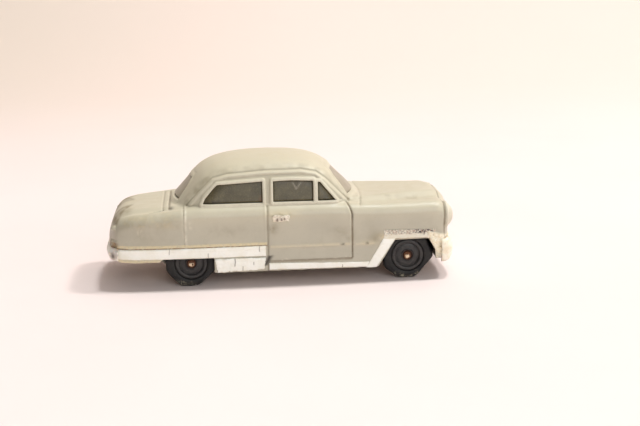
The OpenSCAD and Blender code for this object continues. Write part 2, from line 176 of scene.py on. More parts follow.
def noise(x, y, z, scale):
    """Smooth value noise, -1 to 1, with features about scale across."""
    x, y, z = (np.asarray(v, float) / scale + 100.0 for v in (x, y, z))
    xi, yi, zi = (np.floor(v).astype(int) for v in (x, y, z))
    u, v, w = (t * t * (3 - 2 * t) for t in (x - xi, y - yi, z - zi))

    def at(i, j, k):
        return _vals[_perm[_perm[_perm[(xi + i) & 255] + ((yi + j) & 255)] + ((zi + k) & 255)]]

    def mix(a, b, t):
        return a + (b - a) * t

    return mix(mix(mix(at(0, 0, 0), at(1, 0, 0), u), mix(at(0, 1, 0), at(1, 1, 0), u), v),
               mix(mix(at(0, 0, 1), at(1, 0, 1), u), mix(at(0, 1, 1), at(1, 1, 1), u), v), w)


# ------------------------------------------------------------------ the body as a distance field
tub_w, tub_h, tub_r = (smoothed(TUB, col) for col in (1, 2, 3))
bonnet_w, bonnet_h, bonnet_r = (smoothed(BONNET, col, 1.1) for col in (1, 2, 3))
boot_w, boot_h, boot_r = (smoothed(BOOT, col, 1.1) for col in (1, 2, 3))
crown = smoothed(CROWN, 1, 0.7)
waist = smoothed(WAIST, 1, 0.8, 0.0, 40.0)


def section(ay, z, w, h, r):
    """Distance to a block of half width w and height h with its top edges rounded."""
    qy, qz = ay - (w - r), z - (h - r)
    return np.hypot(np.maximum(qy, 0), np.maximum(qz, 0)) + np.minimum(np.maximum(qy, qz), 0) - r


def tub_field(x, ay, z):
    """The lower body, tucked in below the rib and bowed at both ends."""
    low = np.maximum(RIB_Z - 0.3 - z, 0)
    tuck = 0.16 * step(RIB_Z - 0.15 - z, 0.0, 0.5) + 0.010 * low * low
    d = section(ay, z, tub_w(x) - tuck, tub_h(x), tub_r(x))
    bow = 0.35 * (ay / 9.0) ** 2
    return smax(smax(d, x - 37.75 + bow, 1.6), -37.55 + bow - x, 1.6)


def cabin_field(x, ay, z):
    """The greenhouse: the crown line swept across, with sides that lean in above the waist."""
    t = np.clip(x / 15.0, -1, 1)
    sag = (ay / 12.0) ** 2.4
    xe = x + np.where(t > 0, 1.9 * t * t, -2.6 * t * t) * sag
    slope = (crown(xe + 0.1) - crown(xe - 0.1)) / 0.2
    top = (z - crown(xe) + 0.0125 * ay * ay) / np.sqrt(1 + slope * slope)
    end = np.maximum(np.abs(x + 3.0) - 13.0, 0)
    side = (ay - waist(np.maximum(z, 15.0)) * (1 - 0.0009 * end * end)) * 0.97
    return np.maximum(smax(top, side, 3.4), 14.5 - z)


def base_field(x, y, z):
    """The outer form with no openings or lines, and no underside."""
    ay = np.abs(y)
    d = tub_field(x, ay, z)
    bonnet = section(ay, z, bonnet_w(x), bonnet_h(x), bonnet_r(x))
    bonnet = smax(bonnet, x - 38.15 + 0.03 * ay * ay, 1.2)
    bonnet = smax(np.maximum(bonnet, 12.4 - z), 14.0 - x, 0.6)
    d = smin(d, bonnet, 1.5)
    boot = smax(section(ay, z, boot_w(x), boot_h(x), boot_r(x)), -37.7 + 0.012 * ay * ay - x, 1.6)
    boot = np.maximum(np.maximum(boot, 9.6 - z), x + 20.0)
    d = smin(d, boot, 1.3)
    return smin(d, cabin_field(x, ay, z), 0.45)


def side_lights(x, z):
    """Signed distance to the three windows of a side."""
    rear, front, quarter = (polygon_sdf(x, z, light) for light in (REAR_LIGHT, FRONT_LIGHT, QUARTER_LIGHT))
    return np.minimum(np.minimum(rear, front), quarter)


def end_lights(x, y, z, inset, reach):
    """The two end windows, made smaller by inset. reach keeps each to its own end of the cabin."""
    screen = np.maximum(polygon_sdf(y, z, SCREEN) + inset, reach - x)
    return np.minimum(screen, np.maximum(polygon_sdf(y, z, BACKLIGHT) + inset, x + reach + 6.0))


def arch_front(z):
    """Where the front edge of the front wheel opening is at a height."""
    return 32.3 + 0.566 * np.clip(ARCH_Z - z, 0, 2.65)


def sill_seam(x, z):
    """The seam below the front door, where crumbs have gathered."""
    return band(x, -2.0, 15.0, 0.5) * band(z, 5.15, 5.75, 0.15)


def lines_field(x, y, z):
    """How far the surface stands out (+) or is cut in (-) for rims, seams and ribs, in mm."""
    ay = np.abs(y)
    side = step(ay, 8.0, 9.5)
    upper = step(z, BELT - 0.1, BELT + 0.25)
    lights = side_lights(x, z)
    rail = polygon_sdf(x, z, RAIL)
    # window rims, the channel outside them, the drip rail and the line along the belt
    relief = 0.15 * hump(lights, -0.5, 0.0, 0.42, 0.62)
    relief = relief - 0.13 * hump(lights, 0.5, 0.72, 3.0, 3.6) * (1 - step(rail, -0.62, -0.4))
    relief = relief + 0.13 * bell(rail + 0.12, 0.2) - 0.16 * bell(rail - 0.3, 0.13)
    out = side * upper * relief
    out = out - side * 0.16 * bell(z - (BELT + 0.22), 0.14) * hump(x, -20.8, -20.2, 15.2, 15.6)
    # end windows: a fine groove round a nearly flush pane
    front = hump(x, 8.0, 9.5, 18.0, 18.8)
    back = hump(-x, 14.0, 15.5, 23.7, 24.2)
    for where, pts in ((front, SCREEN), (back, BACKLIGHT)):
        edge = polygon_sdf(y, z, pts)
        out = out + where * upper * (0.05 * bell(edge - 0.3, 0.25) - 0.07 * bell(edge - 0.85, 0.14))
    # doors: lines cut in, each with a raised lip beside it where the mould wore
    curve = DOOR_FRONT_X - np.clip((z - 14.6) / 2.8, 0, 1) ** 2
    doors = step(z, 5.1, 5.5) * (0.07 * bell(x - curve + 0.42, 0.16) - 0.22 * bell(x - curve, 0.15))
    doors = doors + 0.07 * bell(x - DOOR_REAR_X + 0.45, 0.16) - 0.20 * bell(x - DOOR_REAR_X, 0.17)
    quarter = 0.13 * bell(x - QUARTER_X - 0.35, 0.15) - 0.10 * bell(x - QUARTER_X, 0.12)
    out = out + side * (1 - upper) * (doors + quarter * step(z, 9.2, 9.6))
    # the seam below the door, the rib above the sunk panel, and the handle's boss
    seam = -0.2 * bell(z - 5.25, 0.14) * hump(x, -3.1, -2.9, 15.2, 15.5)
    rib = 0.13 * bell(z - RIB_Z, 0.17) * (hump(x, -2.8, -2.5, 14.7, 15.0) + hump(x, 15.8, 16.1, 19.8, 20.8))
    panel = -0.05 * hump(z, 5.2, 5.6, 7.9, 8.3) * hump(x, -2.9, -2.5, 14.6, 15.1)
    boss = 0.22 * hump(x, -1.35, -0.9, 1.3, 1.7) * bell(z - HANDLE_Z, 0.4)
    out = out + side * (seam + rib + panel + boss)
    # two lines across the boot lid with the crease beside them, and two across the bonnet
    lid = (1 - step(ay, 10.2, 10.9)) * (1 - step(x, -23.9, -23.6))
    cut = lid * (0.13 * bell(x + 25.55, 0.17) + 0.2 * bell(x + 24.25, 0.17))
    crease = ay - 10.5 - 0.36 * (-25.3 - x)
    cut = cut + 0.18 * bell(crease, 0.16) * band(x, -28.6, -25.3, 0.15)
    cut = cut + 0.12 * bell(x - 18.2 + 0.0056 * ay * ay, 0.17) * (1 - step(ay, 12.6, 13.6))
    cut = cut + 0.16 * bell(x - 35.7, 0.17) * (1 - step(ay, 7.0, 7.6))
    out = out - cut * step(z, 14.5, 15.5)
    # the seam behind each headlamp
    return out - 0.24 * bell(x - 35.9, 0.15) * step(ay, 7.5, 8.5) * step(z, 8.8, 9.2)


def add_lamps(d, x, ay, z):
    """Adds the headlamps with their rings, the tail lamps, and the grille recess with its two bars."""
    lamp = np.sqrt(((x - LAMP_X) * 1.12) ** 2 + (ay - LAMP_Y) ** 2 + (z - LAMP_Z) ** 2) - LAMP_R
    lamp = np.maximum(lamp, 33.0 - x)
    ring = np.hypot(np.hypot(ay - LAMP_Y, z - LAMP_Z) - 2.72, x - 36.5) - 0.28
    tail = np.sqrt(((x + 36.1) / 1.4) ** 2 + (ay - 11.1) ** 2 + (z - 13.2) ** 2) - 0.58
    d = smin(smin(smin(d, lamp, 0.5), ring, 0.3), tail, 0.4)
    grille = np.maximum(np.hypot(np.maximum(ay - 6.6, 0), z - 10.9) - 1.6, 37.3 - x)
    bars = np.minimum(np.abs(z - 11.55), np.abs(z - 10.25)) - 0.24
    return smax(d, -np.maximum(grille, -bars), 0.2)


def nose_patch(x, y, z):
    """Where filler covers the wing in front of the wheel."""
    patch = step(np.abs(y), 8.5, 10.5) * step(x - arch_front(z), -0.5, 0.1) * (1 - step(x, 37.6, 38.2))
    return patch * step(z, 4.0, 4.8) * (1 - step(z + 0.33 * (x - 33.0), 10.1, 10.8))


def lumps_field(x, y, z):
    """Glue, dirt and crumbs that stand on the surface, in mm."""
    ay = np.abs(y)
    rough = noise(x, y, z, 0.8) + 0.5 * noise(x, y, z, 0.37)
    clots = noise(x, y, z, 1.1) + 0.5 * rough
    foil_top = band(x, -36.4, -3.3, 0.2) * band(z, 8.98, 9.5, 0.1)
    tail_lip = band(x, -36.2, -26.4, 0.4) * band(z, 5.6, 6.3, 0.1)
    lumps = 0.13 * foil_top * step(rough, -1.1, 0.5) + 0.10 * tail_lip * step(rough, -0.7, 0.5)
    lumps = lumps + 0.2 * sill_seam(x, z) * step(rough, 0.65, 1.05)
    lumps = lumps + 0.22 * spot(x, z, 23.3, 9.9, 1.2, 0.4) * step(rough, -0.6, 0.7)
    lumps = lumps + 0.10 * spot(x, z, -0.2, 15.6, 2.0, 0.35) * step(rough, -0.4, 0.6)
    lumps = lumps + 0.35 * spot(x, z, 34.6, 7.0, 1.3, 2.6) * step(clots, 0.0, 0.8)
    out = lumps * step(ay, 11.0, 12.5) + nose_patch(x, y, z) * (0.12 + 0.38 * step(rough, -0.5, 0.9))
    tail_end = step(-x, 35.2, 36.4) * step(ay, 8.5, 10.5) * band(z, 8.8, 10.5, 0.3)
    return out + 1.1 * tail_end * step(rough + 0.6 * noise(y, x, z, 1.7), -0.8, 0.8)


def body_field(x, y, z):
    """The hollow body with everything on it and cut out of it."""
    ay = np.abs(y)
    base = base_field(x, y, z)
    d = add_lamps(base, x, ay, z) - lines_field(x, y, z) - lumps_field(x, y, z)
    d = d + 0.035 * noise(x, y, z, 5.0) + 0.018 * noise(x, y, z, 1.7)
    d = smax(d, -(np.maximum(base, z - 26.2) + WALL), 0.25)
    bulkhead = np.maximum(np.maximum(np.abs(x - 34.4) - 0.4, base + 0.3), z - 14.0)
    d = np.minimum(d, bulkhead)
    # windows, wheel openings and the ragged lower edge
    cut = smax(side_lights(x, z) + 0.12, 7.5 - ay, 0.1)
    cut = np.minimum(cut, end_lights(x, y, z, 0.2, 8.0))
    arch = np.maximum(smax(polygon_sdf(x, z, ARCH), 9.0 - ay, 0.2), -1.0 - z)
    rear = np.maximum(np.maximum(np.abs(x + 20.35) - 5.55, z - SKIRT_Z), 9.0 - ay)
    cut = np.minimum(cut, np.minimum(arch, rear))
    tail_z = TAIL_Z - 0.45 * band(x, -35.6, -26.4, 0.3)
    foot = np.where(x < -20.0, tail_z, np.where(x > 29.0, FRONT_Z, SILL_Z))
    foot = foot + 0.10 * noise(x, y, z, 0.9) + 0.06 * noise(x, y, z, 0.35)
    cut = np.minimum(cut, z - foot)
    return smax(d, -cut, 0.22)


def insert_field(x, y, z):
    """The window moulding: a thin shell under the roof with panes raised into the openings."""
    ay = np.abs(y)
    cabin = cabin_field(x, ay, z)
    d = np.maximum(cabin + WALL + 0.04, -(cabin + WALL + 0.74))
    pane = smax(smax(side_lights(x, z) + 0.14, 8.0 - ay, 0.1), cabin + 0.6, 0.12)
    pane = np.minimum(pane, smax(end_lights(x, y, z, 0.3, 8.5), cabin + 0.14, 0.2))
    pane = np.maximum(pane, -(cabin + WALL + 0.3))
    d = smin(d, pane, 0.15) + 0.012 * noise(x, y, z, 2.6)
    return np.maximum(np.maximum(d, z - 25.2), 17.65 - z)


def oval_shell(x, ay, x_mid, depth, w):
    """Distance to the squared-off oval in plan that a bumper follows."""
    n = 3.2
    u, v = np.abs(x - x_mid) / depth, ay / w
    f = (u ** n + v ** n + 1e-9) ** (1 / n)
    g = np.hypot(u ** (n - 1) / depth, v ** (n - 1) / w) * f ** (1 - n)
    return (f - 1) / np.maximum(g, 0.04)


def bumper_field(end, x_mid, depth, w, z0, h):
    """A worn blade round the nose (end 1) or the tail (end -1), clear of the body."""
    def field(x, y, z):
        ay = np.abs(y)
        oval = oval_shell(x, ay, x_mid, depth, w)
        off_mid = z - z0 - h / 2
        lumps = 0.13 * noise(x, y, z, 2.1) + 0.10 * noise(x, y, z, 0.8)
        d = oval - 0.38 * (1 - (off_mid / (h / 2)) ** 2) + 0.05 + lumps * 0.6
        d = smax(d, np.abs(off_mid) - h / 2 + 0.12 + lumps, 1.1)
        d = d - 0.10 * bell(z - z0 - 0.62 * h, 0.25) + 0.10 * bell(z - z0 - 0.36 * h, 0.2)
        d = smax(d, -(oval + 0.88), 0.2)
        d = np.maximum(d, end * (x_mid - x))
        return np.maximum(d, 0.06 - tub_field(x, ay, z))
    return field


def surface_net(field, lo, hi, h, slab=40):
    """A quad mesh of field = 0 on a grid with spacing h, worked out slab by slab along x."""
    axes = [np.arange(lo[i], hi[i] + h, h) for i in range(3)]
    nx, ny, nz = (len(a) for a in axes)
    f = np.empty((nx, ny, nz), np.float32)
    for i in range(0, nx, slab):
        f[i:i + slab] = field(axes[0][i:i + slab, None, None], axes[1][None, :, None], axes[2][None, None, :])
    s = f < 0
    c = np.zeros((nx - 1, ny - 1, nz - 1), np.uint8)
    corner = [(a, b, e) for a in (0, 1) for b in (0, 1) for e in (0, 1)]
    for a, b, e in corner:
        c += s[a:nx - 1 + a, b:ny - 1 + b, e:nz - 1 + e]
    cell = np.argwhere((c > 0) & (c < 8))
    ids = np.full(c.shape, -1, np.int32)
    ids[tuple(cell.T)] = np.arange(len(cell))
    val = np.stack([f[cell[:, 0] + a, cell[:, 1] + b, cell[:, 2] + e] for a, b, e in corner], 1)
    # the point of each cell is the mean of the crossings on its twelve edges
    pos = np.zeros((len(cell), 3))
    cnt = np.zeros(len(cell))
    for i, p in enumerate(corner):
        for j, q in enumerate(corner):
            if j > i and sum(abs(u - v) for u, v in zip(p, q)) == 1:
                m = (val[:, i] < 0) != (val[:, j] < 0)
                t = np.where(m, val[:, i] / np.where(m, val[:, i] - val[:, j], 1), 0)[:, None]
                pos += np.where(m[:, None], np.array(p) + t * (np.array(q) - np.array(p)), 0)
                cnt += m
    verts = np.array([axes[0][0], axes[1][0], axes[2][0]]) + (cell + pos / cnt[:, None]) * h
    # each grid edge that crosses the surface joins its four cells in a quad
    quads = []
    for ax in range(3):
        u, v = (ax + 1) % 3, (ax + 2) % 3
        e = np.argwhere(np.diff(s, axis=ax))
        e = e[(e[:, u] > 0) & (e[:, v] > 0) & (e[:, u] < f.shape[u] - 1) & (e[:, v] < f.shape[v] - 1)]
        q = []
        for du, dv in ((0, 0), (1, 0), (1, 1), (0, 1)):
            w = e.copy()
            w[:, u] -= du
            w[:, v] -= dv
            q.append(ids[tuple(w.T)])
        q = np.stack(q, 1)
        flip = ~s[tuple(e.T)]
        q[flip] = q[flip][:, ::-1]
        quads.append(q)
    return verts, np.concatenate(quads)


def settle(field, verts, rounds=2, e=0.02):
    """Moves points onto field = 0 along its gradient."""
    for _ in range(rounds):
        x, y, z = verts.T
        f = field(x, y, z)
        g = np.stack([field(x + e, y, z) - f, field(x, y + e, z) - f, field(x, y, z + e) - f], 1) / e
        verts = verts - np.clip(f / np.maximum((g * g).sum(1), 0.25), -0.08, 0.08)[:, None] * g
    return verts


# ------------------------------------------------------------------ meshes
def grid_quads(n, m, round_n=False, round_m=False):
    """Quads over an n by m grid of points, closed up round either way."""
    i, j = np.meshgrid(np.arange(n if round_n else n - 1), np.arange(m if round_m else m - 1), indexing="ij")
    i2, j2 = (i + 1) % n, (j + 1) % m
    return np.stack([i * m + j, i2 * m + j, i2 * m + j2, i * m + j2], 2).reshape(-1, 4)


def mesh_object(name, verts_mm, faces, lift=LIFT, recalc=False):
    """A smooth object from points in mm. recalc turns the faces outwards."""
    me = bpy.data.meshes.new(name)
    v = (np.asarray(verts_mm, float) + np.array([0, 0, lift])) * MM
    f = np.asarray(faces, np.int32)
    n, k = f.shape
    me.vertices.add(len(v))
    me.vertices.foreach_set("co", v.astype(np.float32).ravel())
    me.loops.add(n * k)
    me.loops.foreach_set("vertex_index", f.ravel())
    me.polygons.add(n)
    me.polygons.foreach_set("loop_start", np.arange(0, n * k, k, dtype=np.int32))
    me.update(calc_edges=True)
    me.validate()
    if recalc:
        bm = bmesh.new()
        bm.from_mesh(me)
        bmesh.ops.recalc_face_normals(bm, faces=bm.faces)
        bm.to_mesh(me)
        bm.free()
    me.polygons.foreach_set("use_smooth", [True] * len(me.polygons))
    me.update()
    ob = bpy.data.objects.new(name, me)
    bpy.context.scene.collection.objects.link(ob)
    return ob


def apply_modifiers(ob):
    dg = bpy.context.evaluated_depsgraph_get()
    me = bpy.data.meshes.new_from_object(ob.evaluated_get(dg))
    old = ob.data
    ob.modifiers.clear()
    ob.data = me
    bpy.data.meshes.remove(old)


def points_mm(ob, lift=LIFT):
    co = np.empty(len(ob.data.vertices) * 3, np.float32)
    ob.data.vertices.foreach_get("co", co)
    return co.reshape(-1, 3).astype(float) / MM - np.array([0, 0, lift])


def paint(ob, name, values):
    a = ob.data.attributes.new(name, "FLOAT", "POINT")
    a.data.foreach_set("value", np.clip(values, 0, 1).astype(np.float32))


def place(ob, body, nodes, slot, mat):
    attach(ob, body)
    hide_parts(*nodes)
    ob.data.materials.clear()
    ob.data.materials.append(mat)


def net_object(name, field, lo, hi, h, target=None, hidden=None):
    """An object from a field. Over target triangles it is thinned, mostly where hidden is true."""
    verts, quads = surface_net(field, lo, hi, h)
    verts = settle(field, verts)
    ob = mesh_object(name, verts, quads)
    if target and 2 * len(quads) > target:
        group = ob.vertex_groups.new(name="hidden")
        out_of_sight = hidden(*verts.T)
        group.add(np.flatnonzero(out_of_sight).tolist(), 1.0, "REPLACE")
        group.add(np.flatnonzero(~out_of_sight).tolist(), 0.12, "REPLACE")
        m = ob.modifiers.new("thin", "DECIMATE")
        m.ratio = target / (2 * len(quads))
        m.vertex_group = group.name
        m.vertex_group_factor = 1.0
        apply_modifiers(ob)
        ob.vertex_groups.clear()
        ob.data.polygons.foreach_set("use_smooth", [True] * len(ob.data.polygons))
    return ob


def turned(name, profile, cx, side, steps, warp):
    """A closed profile of (radius, distance from the middle of the car) turned about an axle."""
    prof = np.array(profile, float)
    m = len(prof)
    a = np.arange(steps) * 2 * math.pi / steps
    r = np.repeat(prof[None, :, 0], steps, 0)
    y = np.repeat(prof[None, :, 1], steps, 0)
    ang = np.repeat(a[:, None], m, 1)
    r, y = warp(r, y, ang)
    verts = np.stack([cx + r * np.cos(ang), side * y, AXLE_Z + r * np.sin(ang)], 2).reshape(-1, 3)
    return mesh_object(name, verts, grid_quads(steps, m, True, True), lift=0, recalc=True)


def refine(profile, gap):
    """More points along a closed profile."""
    out = []
    for (r0, y0), (r1, y1) in zip(profile, profile[1:] + profile[:1]):
        n = max(1, int(math.hypot(r1 - r0, y1 - y0) / gap))
        out += [(r0 + (r1 - r0) * k / n, y0 + (y1 - y0) * k / n) for k in range(n)]
    return out


def side_y(x, z):
    """How far out the body side is at x and z."""
    lo = np.full(np.broadcast(x, z).shape, 8.0)
    hi = np.full(lo.shape, 15.6)
    for _ in range(24):
        mid = (lo + hi) / 2
        inside = base_field(x, mid, z) < 0
        lo, hi = np.where(inside, mid, lo), np.where(inside, hi, mid)
    return (lo + hi) / 2


def foil(name, side, seed, low, high, grid, ragged, crease, cracks, clear=0.0, soil=None):
    """A creased sheet between two rails on the body side, following the body."""
    thick, gap = 0.08, 0.03
    nu, nv = grid
    s = seed * 7.3
    u, v = np.meshgrid(np.linspace(0, 1, nu), np.linspace(0, 1, nv), indexing="ij")

    def lerp(a, b, t):
        return a + (b - a) * t

    length = math.hypot(low[1][0] - low[0][0], low[1][1] - low[0][1])
    height = math.hypot(high[0][0] - low[0][0], high[0][1] - low[0][1])

    def rag(t, k, size):
        torn, frayed = noise(t, s + k, side, size), noise(t, s + k, side, size * 0.4)
        return ragged * (0.5 + 0.5 * torn) * (0.6 + 0.4 * frayed)

    a, b = rag(v * height, 0, 0.5) / length, rag(v * height, 9, 0.5) / length
    uu = a + u * (1 - a - b)
    a, b = rag(u * length, 3, 0.8) / height, rag(u * length, 5, 0.8) / height
    vv = a + v * (1 - a - b)
    x = lerp(lerp(low[0][0], low[1][0], uu), lerp(high[0][0], high[1][0], uu), vv)
    z = lerp(lerp(low[0][1], low[1][1], uu), lerp(high[0][1], high[1][1], uu), vv)
    fold = 1 - np.abs(noise(x, s, z, 1.7)) * 1.6
    fine = 1 - np.abs(noise(x, s + 9, z, 0.6)) * 1.8
    creases = 0.6 * np.clip(fold, 0, 1) ** 3 + 0.4 * np.clip(fine, 0, 1) ** 2
    out = crease * (creases + 0.35 * noise(x, s, z, 3.0))
    dark = np.zeros(x.shape)
    for cx, cz0, cz1, w in cracks:
        line = bell(x - cx - 0.12 * noise(z, s, cx, 0.6), w) * band(z, cz0, cz1, 0.1)
        out = out - 0.05 * line
        dark = np.maximum(dark, line)
    edge = np.minimum(np.minimum(u * length, (1 - u) * length), np.minimum(v * height, (1 - v) * height))
    out = out - 0.05 * (1 - step(edge, 0.0, 0.22))
    base = side_y(x, z)
    top = base + gap + thick + np.maximum(out, -thick * 0.4)
    back = np.maximum(top - thick, base + 0.015)
    top, back = top + clear, back + clear
    n = nu * nv
    pts = np.concatenate([np.stack([x, side * y, z], 2).reshape(-1, 3) for y in (top, back)])
    front = grid_quads(nu, nv)
    ids = np.arange(n).reshape(nu, nv)
    border = np.concatenate([ids[:-1, 0], ids[-1, :-1], ids[:0:-1, -1], ids[0, :0:-1]])
    after = np.roll(border, -1)
    rim = np.stack([border, after, after + n, border + n], 1)
    quads = np.concatenate([front, front[:, ::-1] + n, rim[:, ::-1]])
    ob = mesh_object(name, pts, quads, recalc=True)
    paint(ob, "crack", np.tile(dark.ravel(), 2))
    if soil:
        paint(ob, "soil", np.tile(soil(x, z).ravel(), 2))
    rim_near = (1 - step(edge, 0.05, 0.4)).ravel()
    paint(ob, "rim", np.tile(rim_near, 2))
    return ob


# ------------------------------------------------------------------ materials, all worked out by nodes
def add_node(tree, kind, inputs=(), **settings):
    """A new shader node, with a value or a link for each of the inputs named."""
    node = tree.nodes.new("ShaderNode" + kind)
    for key, value in settings.items():
        setattr(node, key, value)
    fill(tree, node, inputs)
    return node


def fill(tree, node, inputs):
    for key, value in dict(inputs).items():
        socket = node.inputs[key]
        if isinstance(value, bpy.types.NodeSocket):
            tree.links.new(value, socket)
        else:
            socket.default_value = (*value, 1) if socket.type == "RGBA" else value


class Graph:
    """A material worked out from the place on the object, in mm."""

    def __init__(self, name):
        self.mat = bpy.data.materials.new(name)
        self.mat.use_nodes = True
        self.tree = self.mat.node_tree
        self.tree.nodes.clear()
        self.bsdf = self.node("BsdfPrincipled")
        self.node("OutputMaterial", {0: self.bsdf.outputs[0]})
        place = self.node("TexCoord").outputs["Object"]
        self.mm = self.node("VectorMath", {0: place, "Scale": 1 / MM}, operation="SCALE").outputs[0]
        self.x, self.y, self.z = self.node("SeparateXYZ", {0: self.mm}).outputs

    def node(self, kind, inputs=(), **settings):
        return add_node(self.tree, kind, inputs, **settings)

    def math(self, op, a, b, clamp=False):
        return self.node("Math", {0: a, 1: b}, operation=op, use_clamp=clamp).outputs[0]

    def product(self, first, *others):
        for other in others:
            first = self.math("MULTIPLY", first, other)
        return first

    def ramp(self, v, lo, hi, to_lo=0.0, to_hi=1.0):
        ends = {"Value": v, "From Min": lo, "From Max": hi, "To Min": to_lo, "To Max": to_hi}
        return self.node("MapRange", ends, interpolation_type="SMOOTHSTEP").outputs[0]

    def noise(self, size, detail=4.0, rough=0.55, distort=0.0, stretch=None):
        place = self.mm
        if stretch:
            place = self.node("Mapping", {0: place, "Scale": stretch}).outputs[0]
        look = {"Scale": 1 / size, "Detail": detail, "Roughness": rough, "Distortion": distort}
        return self.node("TexNoise", {"Vector": place, **look}).outputs[0]

    def cells(self, size):
        return self.node("TexVoronoi", {"Vector": self.mm, "Scale": 1 / size}).outputs["Distance"]

    def attr(self, name):
        return self.node("Attribute", attribute_name=name).outputs["Fac"]

    def mix(self, share, a, b):
        return self.node("Mix", {"Factor": share, 6: a, 7: b}, data_type="RGBA").outputs[2]

    def stain(self, base, colour, *shares):
        """Lays a colour over the base as far as the product of the shares says."""
        return self.mix(self.product(*shares), base, colour)

    def up(self):
        """The upward part of the surface's normal."""
        return self.node("SeparateXYZ", {0: self.node("NewGeometry").outputs["Normal"]}).outputs[2]

    def finish(self, colour, rough, height, depth, **fixed):
        """Sets the colour, the roughness, a relief depth mm deep and any other values by name."""
        bump = self.node("Bump", {"Strength": 1.0, "Distance": depth * MM, "Height": height})
        surface = {"Base Color": colour, "Roughness": rough, "Normal": bump.outputs[0]}
        surface.update({key.replace("_", " "): value for key, value in fixed.items()})
        fill(self.tree, self.bsdf, surface)
        return self.mat


def body_material():
    g = Graph("body_grey_plastic")
    broad = g.noise(9.0, 3.0, 0.5)
    cloud = g.noise(2.6, 4.0, 0.6, 0.4)
    fine = g.noise(0.45, 3.0, 0.6)
    dust = g.cells(0.9)
    base = g.mix(g.ramp(broad, 0.35, 0.65), (0.498, 0.464, 0.368), (0.532, 0.494, 0.390))
    base = g.stain(base, (0.450, 0.415, 0.315), g.ramp(cloud, 0.45, 0.75), 0.35)
    uneven = g.ramp(cloud, 0.25, 0.7, 0.7, 1.0)
    # painted light: the upper body is painted lighter towards the shoulder, unevenly
    base = g.stain(base, (0.660, 0.600, 0.442), g.ramp(g.z, 12.5, 16.5), uneven, 0.45)
    # painted light: faces that look up are painted lighter, more so high on the cabin
    crown_highlight_tone = g.mix(g.ramp(g.z, 19.0, 22.5), (0.585, 0.528, 0.390), (0.630, 0.562, 0.406))
    base = g.stain(base, crown_highlight_tone, g.ramp(g.up(), 0.25, 0.9), uneven, 0.8)
    low = g.ramp(g.z, 12.0, 5.0)
    base = g.stain(base, (0.438, 0.440, 0.385), low, g.ramp(broad, 0.3, 0.7, 0.5, 1.0), 0.22)
    base = g.stain(base, (0.38, 0.32, 0.22), g.ramp(fine, 0.55, 0.8), 0.2)
    base = g.stain(base, (0.72, 0.66, 0.54), g.ramp(dust, 0.08, 0.03), 0.22)
    # pale wear on edges, rims and filler, and a painted highlight on the headlamp faces
    base = g.stain(base, (0.80, 0.74, 0.60), g.attr("worn"), g.ramp(fine, 0.3, 0.6, 0.55, 0.95))
    base = g.stain(base, (0.74, 0.63, 0.40), g.attr("glue"), g.ramp(fine, 0.3, 0.55, 0.5, 1.0))
    base = g.stain(base, (0.165, 0.125, 0.075), g.attr("groove"), g.ramp(cloud, 0.3, 0.6, 0.8, 1.0), 0.92)
    # grime, and painted shade at the boot's corners and end, the front wheel opening and beside the bonnet
    base = g.stain(base, (0.24, 0.185, 0.105), g.attr("grime_and_shade"), g.ramp(cloud, 0.3, 0.62, 0.45, 1.0))
    crust = g.mix(g.ramp(fine, 0.35, 0.65), (0.95, 0.88, 0.72), (0.80, 0.70, 0.50))
    base = g.stain(base, crust, g.attr("crust"))
    base = g.stain(base, (0.24, 0.145, 0.06), g.attr("brown"), g.ramp(fine, 0.25, 0.6, 0.55, 1.0))
    base = g.stain(base, (0.045, 0.038, 0.032), g.attr("black"))
    # painted shade: the inside faces of the shell are painted dark
    base = g.stain(base, (0.21, 0.185, 0.15), g.attr("inside"))
    rough = g.ramp(cloud, 0.3, 0.75, 0.36, 0.50)
    sticky = g.product(g.math("ADD", g.attr("glue"), g.attr("grime_and_shade")), 0.18)
    rough = g.math("ADD", rough, sticky, clamp=True)
    scratch = g.noise(0.5, 2.0, 0.5, 0.0, (0.35, 1.0, 3.0))
    height = g.math("ADD", g.product(fine, 0.6), g.product(scratch, 0.4))
    return g.finish(base, rough, height, 0.012, Specular_IOR_Level=0.40, Coat_Weight=0.06,
                    Coat_Roughness=0.25)


def insert_material():
    g = Graph("window_smoke_plastic")
    cloud = g.noise(2.4, 4.0, 0.6, 0.5)
    grit = g.noise(0.26, 3.0, 0.7)
    specks = g.cells(0.42)
    base = g.mix(g.ramp(cloud, 0.3, 0.7), (0.073, 0.061, 0.031), (0.118, 0.098, 0.050))
    # painted shade: the panes darker towards the top, under the frame
    base = g.stain(base, (0.045, 0.037, 0.028), g.ramp(g.z, 20.6, 22.9), 0.5)
    base = g.stain(base, (0.225, 0.192, 0.100), g.ramp(grit, 0.5, 0.7), 0.55)
    base = g.stain(base, (0.30, 0.26, 0.19), g.ramp(specks, 0.16, 0.05), 0.5)
    base = g.stain(base, (0.34, 0.30, 0.23), g.attr("scratch"))
    base = g.stain(base, (0.055, 0.043, 0.030), g.attr("dirt"))
    base = g.stain(base, (0.17, 0.095, 0.045), g.attr("rust"))
    # painted reflection: the screen and back window are painted lighter, as the bright surroundings show in
    # them
    ends = g.attr("ends")
    base = g.stain(base, (0.33, 0.285, 0.205), ends)
    rough = g.mix(ends, g.ramp(grit, 0.35, 0.7, 0.32, 0.6), g.ramp(cloud, 0.3, 0.7, 0.28, 0.38))
    height = g.product(grit, g.math("SUBTRACT", 1.0, ends))
    return g.finish(base, rough, height, 0.014, Specular_IOR_Level=0.5)


